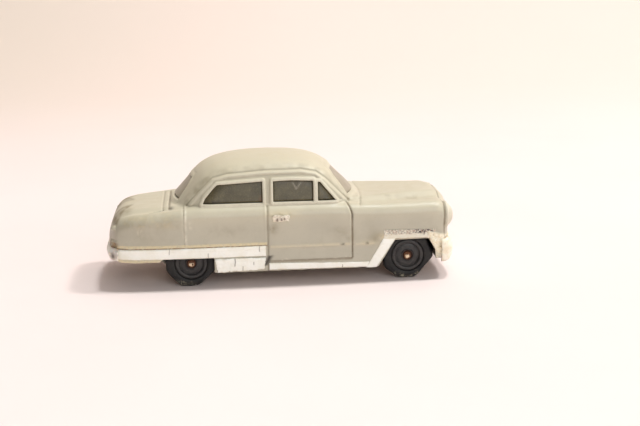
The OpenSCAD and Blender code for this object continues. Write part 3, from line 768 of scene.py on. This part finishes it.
def base_plate_material():
    g = Graph("base_grey_plastic")
    cloud = g.noise(4.0, 4.0, 0.6, 0.6)
    fine = g.noise(0.5, 4.0, 0.65)
    base = g.mix(g.ramp(cloud, 0.3, 0.7), (0.36, 0.325, 0.26), (0.44, 0.395, 0.315))
    base = g.stain(base, (0.19, 0.155, 0.11), g.ramp(fine, 0.5, 0.75), 0.5)
    base = g.stain(base, (0.24, 0.16, 0.09), g.ramp(g.noise(11.0, 2.0), 0.55, 0.72), 0.6)
    return g.finish(base, g.ramp(fine, 0.3, 0.7, 0.45, 0.7), fine, 0.02, Specular_IOR_Level=0.35)


def bumper_material(name, pale):
    g = Graph(name)
    cloud = g.noise(1.9, 4.0, 0.6, 0.6)
    fine = g.noise(0.4, 4.0, 0.65)
    base = g.mix(g.ramp(cloud, 0.35, 0.65), pale, tuple(c * k for c, k in zip(pale, (0.92, 0.88, 0.80))))
    base = g.stain(base, (0.58, 0.47, 0.29), g.ramp(fine, 0.54, 0.74), 0.35)
    base = g.stain(base, (0.42, 0.29, 0.15), g.ramp(g.noise(0.9, 3.0, 0.6, 1.2), 0.64, 0.74), 0.5)
    base = g.stain(base, (0.93, 0.89, 0.80), g.ramp(g.cells(0.7), 0.12, 0.04), 0.6)
    base = g.stain(base, (0.10, 0.075, 0.06), g.attr("mark"))
    rough = g.ramp(cloud, 0.3, 0.7, 0.32, 0.55)
    return g.finish(base, rough, fine, 0.03, Specular_IOR_Level=0.45, Coat_Weight=0.15,
                    Coat_Roughness=0.25, Subsurface_Weight=0.12, Subsurface_Scale=0.0008)


def steel_material():
    g = Graph("rusty_steel")
    cloud = g.noise(0.5, 4.0, 0.65, 0.5)
    fine = g.noise(0.14, 4.0, 0.7)
    base = g.mix(g.ramp(cloud, 0.3, 0.65), (0.085, 0.032, 0.016), (0.21, 0.085, 0.036))
    base = g.stain(base, (0.062, 0.034, 0.022), g.ramp(fine, 0.55, 0.75), 0.6)
    bare = g.attr("bare")
    base = g.stain(base, (0.86, 0.70, 0.50), bare)
    rough = g.mix(bare, (0.82, 0.82, 0.82), (0.24, 0.24, 0.24))
    return g.finish(base, rough, fine, 0.03, Metallic=g.product(bare, 0.9))


def hub_material():
    g = Graph("hub_black_plastic")
    cloud = g.noise(1.3, 4.0, 0.6, 0.4)
    fine = g.noise(0.3, 3.0, 0.65)
    base = g.mix(g.ramp(cloud, 0.35, 0.7), (0.022, 0.020, 0.020), (0.042, 0.038, 0.036))
    base = g.stain(base, (0.13, 0.11, 0.09), g.ramp(fine, 0.58, 0.75), 0.35)
    base = g.stain(base, (0.060, 0.020, 0.011), g.attr("rust"), g.ramp(fine, 0.3, 0.6, 0.4, 1.0))
    return g.finish(base, g.ramp(cloud, 0.3, 0.7, 0.34, 0.52), fine, 0.02, Specular_IOR_Level=0.42)


def tyre_material():
    g = Graph("tyre_black_rubber")
    cloud = g.noise(1.6, 4.0, 0.6, 0.5)
    fine = g.noise(0.35, 4.0, 0.65)
    base = g.mix(g.ramp(cloud, 0.35, 0.7), (0.010, 0.009, 0.010), (0.023, 0.021, 0.019))
    base = g.stain(base, (0.064, 0.057, 0.050), g.ramp(fine, 0.52, 0.72), 0.4)
    base = g.stain(base, (0.17, 0.125, 0.085), g.ramp(g.noise(0.75, 3.0, 0.6, 0.8), 0.64, 0.72), 0.5)
    crumbs = g.product(g.attr("crumb"), g.ramp(g.noise(0.42, 3.0, 0.7, 0.6), 0.50, 0.60))
    base = g.stain(base, (0.40, 0.365, 0.27), crumbs)
    height = g.math("ADD", g.product(cloud, 0.5), g.product(fine, 0.5))
    return g.finish(base, g.ramp(fine, 0.3, 0.7, 0.42, 0.68), height, 0.08, Specular_IOR_Level=0.32)


def foil_material(name, tone=(0.93, 0.945, 0.885), metal=0.4, dirt=0.0, crumpled=0.0):
    g = Graph(name)
    cloud = g.noise(2.2, 4.0, 0.6, 0.4)
    fine = g.noise(0.32, 4.0, 0.7)
    base = g.mix(g.ramp(cloud, 0.3, 0.7), tone, tuple(c * k for c, k in zip(tone, (0.96, 0.945, 0.91))))
    base = g.stain(base, (0.66, 0.60, 0.49), g.ramp(fine, 0.52, 0.8), 0.2 + 0.3 * dirt)
    base = g.stain(base, (0.74, 0.66, 0.48), g.attr("rim"), g.ramp(cloud, 0.4, 0.65, 0.0, 0.45))
    base = g.stain(base, (0.12, 0.09, 0.065), g.attr("crack"), 0.9)
    if dirt:
        soil = g.attr("soil")
        stain = g.ramp(g.noise(0.5, 4.0, 0.7, 0.6), 0.46, 0.60)
        base = g.stain(base, (0.36, 0.22, 0.15), stain, soil, dirt)
        flecks = g.ramp(g.noise(0.42, 3.0, 0.6, 0.8), 0.49, 0.56)
        flecks = g.product(flecks, g.math("POWER", soil, 3.0))
        base = g.stain(base, (0.05, 0.042, 0.04), flecks, dirt)
    height = g.math("ADD", g.product(fine, 0.5), g.product(g.noise(0.9, 3.0, 0.6, 1.0), 0.5))
    return g.finish(base, g.ramp(cloud, 0.3, 0.7, 0.32, 0.5), height, 0.02 + 0.08 * crumpled, Metallic=metal)


BODY = body_material()
INSERT = insert_material()
BASE = base_plate_material()
BUMPER = bumper_material("bumper_cream_plastic", (0.95, 0.90, 0.76))
BUMPER_PALE = bumper_material("bumper_pale_plastic", (0.99, 0.95, 0.88))
STEEL = steel_material()
HUB = hub_material()
TYRE = tyre_material()
FOIL = foil_material("trim_foil_white")
FOIL_WORN = foil_material("trim_foil_worn", (0.82, 0.78, 0.66), 0.0, 1.0, 0.6)
FOIL_HANDLE = foil_material("handle_foil_dirty", (0.88, 0.82, 0.69), 0.1, 0.5, 1.0)


# ------------------------------------------------------------------ body, windows and bumpers
def unseen(x, y, z):
    return base_field(x, y, z) < -0.55


body = net_object("car_body_shell", body_field, (-39.0, -15.6, 1.8), (39.2, 15.6, 28.4),
                  0.2, 190000, unseen)

# Marks on the side. A spot is strength, place and reach. A strip is strength, then the two bands in x and z.
WORN_SPOTS = [(0.6, -30.6, 12.6, 0.5, 0.6), (0.6, -20.0, 13.8, 0.4, 0.5)]
GRIME_SPOTS = [(0.7, -2.0, 12.7, 0.8, 0.9), (0.28, 12.7, 11.2, 1.8, 0.9), (0.45, 20.6, 9.5, 1.3, 1.1),
               (0.2, -30.0, 12.0, 3.5, 1.6), (0.25, 14.0, 9.9, 1.5, 0.7), (0.22, -12.0, 12.6, 2.5, 0.9)]
GLUE_SPOTS = [(1.0, 23.3, 9.9, 1.3, 0.5), (0.5, 19.0, 8.6, 1.6, 0.35), (0.55, -0.1, 15.7, 2.2, 0.6)]
GLUE_STRIPS = [(0.9, (-36.4, -3.3, 0.2), (9.0, 9.6, 0.12)), (0.35, (-2.6, 14.8, 0.3), (8.3, 8.9, 0.15)),
               (0.8, (-36.2, -26.4, 0.4), (5.5, 6.4, 0.15))]
BROWN_STRIPS = [(0.4, (-2.5, 15.2, 0.2), (4.85, 5.2, 0.1)), (0.55, (24.5, 31.5, 0.4), (9.15, 9.6, 0.1))]
BLACK_SPOTS = [(0.8, 13.3, 8.55, 0.22, 0.18), (0.8, 18.6, 8.5, 0.2, 0.2), (0.5, 15.4, 14.6, 0.15, 0.5)]


def body_marks(ob):
    """Where the grooves, the worn edges, the glue and the dirt are, and where shade and a lamp highlight are
    painted.
    """
    x, y, z = points_mm(ob).T
    ay = np.abs(y)
    side = step(ay, 11.0, 12.6)
    lines = lines_field(x, y, z)
    inside = (base_field(x, y, z) < -0.5).astype(float)
    rag = noise(x, y, z, 1.2)
    fine_rag = noise(x, y, z, 0.45)
    above = step(z, BELT - 0.05, BELT + 0.15) * step(ay, 8.0, 9.5)
    below = side * (1 - above)
    rail = polygon_sdf(x, z, RAIL)
    corner = nose_patch(x, y, z)

    def mark(name, values):
        paint(ob, name, values * (1 - inside))

    shade = 0.72 - 0.42 * above + 0.5 * below * bell(x - 15.0, 0.9)
    shade = shade - below * (0.35 * bell(x + 21.0, 0.6) + 0.2 * bell(x + 3.0, 0.6))
    belt_line = bell(z - BELT - 0.2, 0.18) * band(x, -20.5, 15.0, 0.3)
    shade = shade + 0.22 * above * (bell(rail - 0.3, 0.2) + belt_line)
    mark("groove", np.clip((-lines - 0.06) / 0.10, 0, 1) * shade)

    rim = above * (1 - step(np.abs(side_lights(x, z) - 0.2), 0.2, 0.45))
    lip = 0.75 * bell(x + 20.8, 0.2) * band(z, 9.3, 16.8, 0.3)
    # the headlamp faces, which get a painted highlight
    lamp_highlight_area = 1 - step(np.hypot(ay - LAMP_Y, z - LAMP_Z), 2.9, 3.3)
    # wear on rims, the quarter lip, the filler, the sill seam and spots, and a painted highlight on the
    # headlamps
    wear_and_lamp_highlight = (0.45 * rim, below * lip * step(fine_rag, -0.7, 0.3),
            corner * step(rag + 0.6 * fine_rag, -1.3, -0.2), 0.55 * step(x, 35.9, 36.3) * lamp_highlight_area,
            side * sill_seam(x, z) * step(fine_rag, 0.35, 0.7),
            side * spots(x, z, WORN_SPOTS) * step(fine_rag, 0.1, 0.5))
    # worn holds the wear and the painted highlight on the headlamps
    worn = np.clip(lines / 0.12 - 0.3, 0, 1) * 0.35
    for values in wear_and_lamp_highlight:
        worn = np.maximum(worn, values)
    mark("worn", worn)

    # grime and painted shade: stains on sides, pillars and rail; painted shade on boot, arch and bonnet; back
    # window foot
    grime_and_shade = side * (spots(x, z, GRIME_SPOTS) + 0.28 * band(z, 13.4, 16.4, 0.8) * band(x, -34.5, -21.8, 1.0))
    grime_and_shade = grime_and_shade + 0.14 * above * band(x, -22.5, -14.5, 1.2) * step(rail, -0.5, 0.3)
    # painted shade on the boot's rear corners
    grime_and_shade = grime_and_shade + 0.42 * step(-x, 31.6, 33.4) * band(ay, 6.0, 10.3, 0.9) * step(z, 15.0, 15.8)
    grime_and_shade = grime_and_shade + 0.3 * above * hump(rail, 0.2, 0.5, 0.8, 2.2) * step(rag, -0.5, 0.6)
    # painted shade along the front edge of the front wheel opening
    grime_and_shade = grime_and_shade + 0.4 * step(ay, 8.5, 9.5) * band(z, 4.0, 9.2, 0.3) * bell(x - arch_front(z), 0.4)
    # painted shade in the valley between the bonnet and the wings
    bonnet_valley_shade = (1 - above) * bell(ay - 8.3, 0.8) * step(z, 15.5, 16.5) * band(x, 21.0, 35.5, 1.0)
    grime_and_shade = grime_and_shade + 0.30 * bonnet_valley_shade * step(rag, -0.8, 0.5)
    # the foot of the back window is painted darker
    grime_and_shade = grime_and_shade + 0.25 * step(z, 18.0, 19.0) * bell(x + 24.0, 1.2) * (1 - step(ay, 9.0, 10.5))
    grime_and_shade = np.clip(grime_and_shade, 0, 1) * step(rag + 0.6 * fine_rag, -1.8, 0.3)
    # painted shade on the end of the boot, which faces away from the lamps
    boot_end_shade = 0.8 * step(-x - 0.35 * (ay - 7.5), 33.4, 34.5) * step(z, 13.0, 14.2) * band(ay, 2.5, 11.6, 1.0)
    mark("grime_and_shade", np.maximum(grime_and_shade, boot_end_shade))
    mark("crust", corner * step(rag + 0.7 * fine_rag, -0.9, -0.1))

    haze = 0.35 * band(z, 13.4, 16.6, 0.6) * band(x, -35.0, -21.6, 1.0) * step(rag + fine_rag, -0.6, 1.4)
    mark("glue", side * (spots(x, z, GLUE_SPOTS) + strips(x, z, GLUE_STRIPS) + haze))

    foil_edge = band(z, 8.78, 9.02, 0.08) * band(x, -36.6, -3.2, 0.15) * step(fine_rag, -0.9, -0.1)
    brown = side * (foil_edge + strips(x, z, BROWN_STRIPS)) + 0.8 * corner * step(fine_rag - rag, 0.9, 1.2)
    tip = step(-x, 35.0, 36.2) * step(ay, 8.5, 10.0) * band(z, 8.3, 10.2, 0.35)
    mark("brown", brown + 0.95 * tip * step(fine_rag + rag, -1.4, -0.4))

    door_foot = 0.95 * bell(x + 3.2 - 0.55 * (z - 5.4), 0.42) * band(z, 4.3, 6.5, 0.15)
    seam_end = 0.7 * step(z, 16.4, 16.9) * spot(x, ay, -23.8, 10.3, 0.35, 0.6)
    mark("black", side * (spots(x, z, BLACK_SPOTS) + door_foot) + seam_end)
    # the inside faces, which the material paints dark as shade
    paint(ob, "inside", inside)


body_marks(body)
place(body, "car_body", ["body_shell"], "body_plastic", BODY)

insert = net_object("car_window_insert", insert_field, (-24.0, -13.0, 17.2), (18.0, 13.0, 25.6),
                    0.26)
px, py, pz = points_mm(insert).T
FAR = 10                                                # keeps each stroke of the scratch to its own side
left_stroke = np.abs((px - 3.5) + (pz - 20.6) * 0.55) + FAR * (px > 3.6)
right_stroke = np.abs((px - 3.5) - (pz - 20.6) * 0.8) + FAR * (px < 3.4)
paint(insert, "scratch", 0.8 * bell(np.minimum(left_stroke, right_stroke), 0.11) * band(pz, 20.4, 22.0, 0.2))
dirt = spots(px, pz, [(1.0, -14.6, 18.3, 1.0, 0.35), (0.7, -12.6, 18.25, 1.4, 0.25)])
paint(insert, "dirt", dirt * step(noise(px, py, pz, 0.7), -0.3, 0.3))
# the screen and back window, which the material paints lighter as a reflection
paint(insert, "ends", 1 - step(end_lights(px, py, pz, 0.0, 9.0), -0.3, -0.1))
paint(insert, "rust", spot(px, pz, -4.3, 18.7, 0.25, 0.5) * 0.9)
place(insert, "car_body", ["window_insert"], "smoke_plastic", INSERT)

bumper_gap = 0.16
front_shape = bumper_field(end=1, x_mid=35.15, depth=3.05, w=14.1, z0=3.4, h=5.4)
front_bumper = net_object("car_front_bumper", front_shape, (34.4, -15.2, 2.8), (39.0, 15.2, 9.6), bumper_gap)
paint(front_bumper, "mark", 0.5 * bell(points_mm(front_bumper)[:, 2] - 3.5, 0.3))
place(front_bumper, "car_body", ["front_bumper"], "bumper_plastic", BUMPER)
rear_shape = bumper_field(end=-1, x_mid=-35.5, depth=2.45, w=12.9, z0=5.9, h=3.2)
rear_bumper = net_object("car_rear_bumper", rear_shape, (-39.2, -14.2, 5.2), (-35.0, 14.2, 9.8), bumper_gap)
px, py, pz = points_mm(rear_bumper).T
edge_dirt = 0.45 * bell(px + 35.7, 0.3) * step(noise(px, py, pz, 0.5), -0.2, 0.3)
paint(rear_bumper, "mark", step(np.abs(py), 10.5, 11.5) * (spot(px, pz, -36.6, 7.4, 0.4, 0.6) + edge_dirt))
place(rear_bumper, "car_body", ["rear_bumper"], "bumper_plastic", BUMPER_PALE)


# ------------------------------------------------------------------ foil trim
def arch_soil(x, z):
    """The top strip is dirty above its folded edge, most of all towards the nose."""
    return (0.72 + 0.28 * hump(x, 28.4, 29.4, 32.8, 33.6)) * step(z, 9.9, 10.4)


def even_soil(x, z):
    return np.full(x.shape, 0.6)


# Rails run along the lower and the upper edge, as (x, z). Cracks: x, lowest and highest z, width.
SHEETS = {
    "quarter_foil": dict(
        low=[(-36.9, 6.45), (-3.55, 6.5)], high=[(-36.9, 8.75), (-3.55, 8.85)], grid=(320, 24), ragged=0.06,
        crease=0.06, cracks=[(-24.4, 7.5, 8.8, 0.04), (-16.1, 6.4, 7.6, 0.035), (-4.9, 7.5, 8.8, 0.05)]),
    "rear_sill_foil": dict(
        low=[(-14.2, 2.95), (-3.9, 3.4)], high=[(-14.8, 6.3), (-3.4, 6.3)], grid=(120, 34), ragged=0.42,
        crease=0.18, cracks=[(-10.35, 4.4, 6.2, 0.07), (-8.7, 3.0, 4.4, 0.04), (-6.3, 4.6, 5.3, 0.05)]),
    "door_sill_foil": dict(
        low=[(-2.9, 3.3), (18.7, 3.1)], high=[(-2.9, 4.85), (19.1, 4.3)], grid=(220, 16), ragged=0.09,
        crease=0.06, cracks=[(13.1, 3.2, 3.9, 0.04)]),
    "arch_riser_foil": dict(
        low=[(20.6, 2.9), (25.0, 9.5)], high=[(18.4, 2.9), (22.2, 9.5)], grid=(80, 30), ragged=0.04,
        crease=0.04, cracks=[]),
    "arch_top_foil": dict(
        low=[(22.2, 9.25), (33.0, 9.25)], high=[(22.3, 11.35), (34.0, 11.05)], grid=(120, 24), ragged=0.14,
        crease=0.14, cracks=[(31.3, 9.9, 10.6, 0.1)], soil=arch_soil),
    "handle_foil": dict(
        low=[(-2.0, 13.9), (1.75, 14.1)], high=[(-2.1, 15.75), (1.95, 15.55)], grid=(70, 36), ragged=0.42,
        crease=0.3, cracks=[(-0.95, 14.2, 14.85, 0.16), (0.05, 14.3, 14.9, 0.14), (0.6, 14.4, 15.0, 0.13)],
        clear=0.24, soil=even_soil),
}
LEFT_SEED = 40
for side, label in ((-1, "right"), (1, "left")):
    for number, (node, sheet) in enumerate(SHEETS.items(), 1):
        seed = number + (LEFT_SEED if side > 0 else 0)
        ob = foil("foil_" + node.replace("_foil", "_") + label, side, seed, **sheet)
        mat = {"arch_top_foil": FOIL_WORN, "handle_foil": FOIL_HANDLE}.get(node, FOIL)
        slot = "handle_foil" if node == "handle_foil" else "trim_foil"
        place(ob, "car_body", [node + "_" + label], slot, mat)

# ------------------------------------------------------------------ wheels
# Each tyre has gone hard and flat in places: the direction of each flat in degrees, and how far out it is.
FLATS = {
    "front_right": [(270, 0.0), (319, -0.4), (22, 0.15), (70, 0.3), (110, 0.2), (150, 0.35), (190, 0.45),
                    (232, 0.24)],
    "rear_right": [(270, 0.0), (311, -0.35), (350, 0.3), (40, 0.35), (90, 0.2), (135, 0.35), (180, 0.45),
                   (222, 0.14)],
    "front_left": [(270, 0.0), (225, 0.1), (178, 0.4), (120, 0.25), (70, 0.3), (20, 0.4), (320, 0.1)],
    "rear_left": [(270, 0.0), (230, 0.05), (190, 0.4), (140, 0.3), (95, 0.2), (45, 0.35), (0, 0.4),
                  (312, 0.15)],
}
FLAT_SHARPNESS = 24
BORE_R, RIM_R, WALL_R = 0.76, 3.6, 4.1
TREAD_Y, TREAD_HALF = 11.15, 1.55
WIRE_R = 0.7
hub_profile = [(BORE_R, 9.1), (1.7, 9.1), (1.9, 10.1), (3.5, 10.2), (3.5, 10.5), (3.12, 10.5), (3.12, 12.15),
               (3.48, 12.17), (3.52, 12.36), (3.4, 12.5), (3.1, 12.55), (2.8, 12.5), (2.68, 12.3),
               (2.56, 12.02), (2.45, 12.0), (2.3, 12.14), (1.9, 12.2), (1.45, 12.2), (1.3, 12.28),
               (1.26, 12.4), (1.18, 12.42), (1.12, 12.36), (1.1, 12.2), (1.1, 11.95), (BORE_R, 11.9)]
tyre_profile = [(3.16, 10.52), (3.58, 10.5), (3.6, 9.86)]
for t in np.linspace(0, math.pi, 25):
    across = math.copysign(abs(math.cos(t)) ** 0.62, math.cos(t))
    tyre_profile.append((WALL_R + (TYRE_R - WALL_R) * math.sin(t) ** 0.55, TREAD_Y - TREAD_HALF * across))
tyre_profile += [(3.75, 12.62), (3.6, 12.48), (3.58, 12.14), (3.16, 12.12)]
# Half of an axle's outline as (radius, y), from the dimple in its peened end to the plain wire.
axle_end = [(0.004, 12.475), (0.12, 12.47), (0.3, 12.44), (0.48, 12.36), (0.6, 12.24), (0.66, 12.2),
            (0.76, 12.26), (0.8, 12.15), (0.78, 12.02), (WIRE_R, 11.95)]


def flat_radius(a, flats):
    """How far out a tyre with these flats reaches at each angle."""
    total = 0
    for degrees, extra in flats:
        facing = np.maximum(np.cos(a - math.radians(degrees)), 0)
        total = total + (facing / (TYRE_R + extra)) ** FLAT_SHARPNESS
    return total ** (-1 / FLAT_SHARPNESS)


def tyre_warp(flats, key):
    """Flattens and roughens a tyre, wears its foot and cuts two grooves in each wall."""
    def warp(r, y, a):
        grow = (flat_radius(a, flats) - RIM_R) / (TYRE_R - RIM_R)
        rr = np.where(r > RIM_R + 0.02, RIM_R + (r - RIM_R) * grow, r)
        rubber = step(rr, 3.7, 4.4)
        X, Z = rr * np.cos(a), rr * np.sin(a)
        bump = 0.05 * noise(X + key, y, Z, 1.6) + 0.035 * noise(X + key, y, Z, 0.6)
        at_foot = step(rr, 4.5, 5.0) * bell(a - 1.5 * math.pi, 0.5)
        nick = 0.24 * step(noise(X, y + key, Z, 0.8), 0.35, 0.7) * at_foot
        rr = rr + rubber * (bump - nick - 0.05)
        low = AXLE_Z + rr * np.sin(a)
        rr = np.where(low < 0.0, rr * AXLE_Z / np.maximum(AXLE_Z - low, 1e-6), rr)
        groove = 0.10 * bell(r - 4.6, 0.07) + 0.06 * bell(r - 4.15, 0.06)
        return rr, y - np.sign(y - TREAD_Y) * groove + rubber * 0.04 * noise(X, Z, key, 1.1)
    return warp


def hub_warp(key):
    """Makes the outer face of a hub slightly uneven."""
    def warp(r, y, a):
        X, Z = r * np.cos(a), r * np.sin(a)
        face = step(y, 11.5, 12.0) * step(r, 0.9, 1.1)
        return r, y + face * 0.03 * noise(X + key, Z, 0.0, 0.9)
    return warp


def make_wheel(end, side, label):
    """One hub with its tyre."""
    cx, wheel = AXLE_X[end], f"{end}_{label}"
    key = 3 * cx + side
    rubber = tyre_warp(FLATS[wheel], key)
    tyre = turned(f"tyre_{wheel}_rubber", refine(tyre_profile, 0.2), cx, side, 180, rubber)
    x, y, z = points_mm(tyre, 0).T
    out_of_rim = step(np.hypot(x - cx, z - AXLE_Z), 3.9, 4.8)
    paint(tyre, "crumb", out_of_rim * (1 - step(z, 0.9, 2.0)) * step(noise(x, y, z, 1.4), -0.5, 0.3))
    place(tyre, "wheel_" + wheel, ["tyre_" + wheel], "tyre_rubber", TYRE)
    hub = turned(f"hub_{wheel}_black", refine(hub_profile, 0.12), cx, side, 96, hub_warp(key))
    x, y, z = points_mm(hub, 0).T
    paint(hub, "rust", 1 - step(np.hypot(x - cx, z - AXLE_Z), 1.05, 1.2))
    place(hub, "wheel_" + wheel, ["hub_" + wheel], "hub_plastic", HUB)


def make_axle(end, steps=40):
    """A wire axle with peened, rusty ends."""
    wire = [(WIRE_R, y) for y in np.linspace(-11.0, 11.0, 23)]
    line = np.array([(r, -y) for r, y in axle_end] + wire + [(r, y) for r, y in axle_end[::-1]])
    a = (np.arange(steps) * 2 * math.pi / steps)[:, None]
    x = AXLE_X[end] + line[None, :, 0] * np.cos(a)
    z = AXLE_Z + line[None, :, 0] * np.sin(a)
    y = np.repeat(line[None, :, 1], steps, 0)
    knob = np.abs(y) > 12.0
    wobble = 0.03 * noise(x, y, z, 0.5) * knob
    z = z - 0.25 * knob * step(np.abs(y), 12.0, 12.15)
    x, z, y = x + wobble, z + wobble * 0.6, y + 0.04 * np.sign(y) * noise(x, z, y, 0.4) * knob
    points = np.stack([x, y, z], 2).reshape(-1, 3)
    axle = mesh_object(f"axle_{end}_wire", points, grid_quads(steps, len(line), True), lift=0, recalc=True)
    x, y, z = points_mm(axle, 0).T
    glint = step(np.abs(y), 12.26, 12.34) * step(AXLE_Z + 0.1 - z, 0.0, 0.2)
    paint(axle, "bare", glint * step(noise(x, y, z, 0.35), -0.4, 0.1))
    place(axle, f"{end}_axle_wire", [f"{end}_axle"], "rusty_steel", STEEL)


for end in ("front", "rear"):
    for side, label in ((-1, "right"), (1, "left")):
        make_wheel(end, side, label)
    make_axle(end)

# ------------------------------------------------------------------ CAD nodes that keep their shape
for node, mat in (("base_plate", BASE), ("base_rivet_front", STEEL), ("base_rivet_rear", STEEL)):
    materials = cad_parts[node].data.materials
    materials.clear()
    materials.append(mat)

# ------------------------------------------------------------------ camera, at the photograph's angle
AZIMUTH, ELEVATION, ROLL = (math.radians(a) for a in (-4.9, 12.5, -1.02))
CAMERA_DISTANCE = 0.2964
scene = bpy.context.scene
cam_data = bpy.data.cameras.new("camera")
cam = bpy.data.objects.new("camera", cam_data)
scene.collection.objects.link(cam)
scene.camera = cam
cam_data.sensor_width = 36.0
cam_data.lens = 73.125
cam_data.clip_start, cam_data.clip_end = 0.01, 20.0
flat = math.cos(ELEVATION)
back = Vector((math.sin(AZIMUTH) * flat, -math.cos(AZIMUTH) * flat, math.sin(ELEVATION)))
level = Vector((math.cos(AZIMUTH), math.sin(AZIMUTH), 0))
upright = back.cross(level)
right = level * math.cos(ROLL) + upright * math.sin(ROLL)
up = upright * math.cos(ROLL) - level * math.sin(ROLL)
turn = Matrix((right, up, back)).transposed().to_4x4()
target = Vector((0.00959, 0.0, 0.01243 + LIFT * MM))
cam.matrix_world = Matrix.Translation(target + back * CAMERA_DISTANCE) @ turn


# ------------------------------------------------------------------ pale floor that sweeps up into a backdrop
def sweep_material():
    g = Graph("pale_sweep")
    cloud = g.noise(60.0, 3.0, 0.5)
    grain = g.noise(1.2, 3.0, 0.6)
    floor = g.mix(g.ramp(cloud, 0.3, 0.7), (0.905, 0.785, 0.755), (0.890, 0.770, 0.739))
    # painted shade: the backdrop is painted darker towards the left
    wall = g.mix(g.ramp(g.x, -160.0, 60.0), (0.760, 0.650, 0.560), (0.850, 0.715, 0.645))
    base = g.mix(g.ramp(g.y, 60.0, 420.0), floor, wall)
    return g.finish(base, 0.75, grain, 0.01, Specular_IOR_Level=0.2)


bend, bend_y = 0.25, 0.3                                # in metres, with the profile as (y, z)
profile = [(y, 0.0) for y in (-1.4, -0.8, -0.3, 0.0, bend_y)]
turns = np.linspace(0.08, math.pi / 2, 18)
profile += [(bend_y + bend * math.sin(t), bend * (1 - math.cos(t))) for t in turns]
profile += [(bend_y + bend, 0.6), (bend_y + bend, 1.3)]
columns = np.linspace(-1.5, 1.5, 7)
grid = [(x / MM, y / MM, z / MM) for x in columns for y, z in profile]
sweep = mesh_object("floor_sweep", grid, grid_quads(len(columns), len(profile)), lift=0)
sweep.data.materials.append(sweep_material())


# ------------------------------------------------------------------ soft studio light
def soft_light(name, direction, distance, size, power, colour):
    """A disc of light that faces the target, in metres and watts."""
    d = Vector(direction).normalized()
    light = bpy.data.lights.new(name, "AREA")
    light.shape = "DISK"
    light.size = size
    light.energy = power
    light.color = colour
    ob = bpy.data.objects.new(name, light)
    ob.location = target + d * distance
    ob.rotation_euler = d.to_track_quat("Z", "Y").to_euler()
    scene.collection.objects.link(ob)


soft_light("key_high", (0.25, 0.09, 1.0), 1.6, 0.26, 10.6, (0.94, 0.98, 0.985))
soft_light("key_nose", (0.68, 0.09, 1.0), 1.6, 0.26, 10.4, (1.0, 0.985, 0.965))
soft_light("front_fill", (0.25, -1.0, 0.42), 1.0, 0.6, 3.2, (0.975, 0.985, 0.975))
world = bpy.data.worlds.new("studio")
scene.world = world
world.use_nodes = True
tree = world.node_tree
across = add_node(tree, "SeparateXYZ", {0: add_node(tree, "TexCoord").outputs["Generated"]}).outputs[0]
ends = {"From Min": -0.9, "From Max": 0.9, "To Min": 0.10, "To Max": 0.50}
fade = add_node(tree, "MapRange", {"Value": across, **ends}, interpolation_type="SMOOTHSTEP")
fill(tree, tree.nodes["Background"], {0: (0.96, 0.975, 0.975), 1: fade.outputs[0]})
scene.view_settings.view_transform = "Standard"
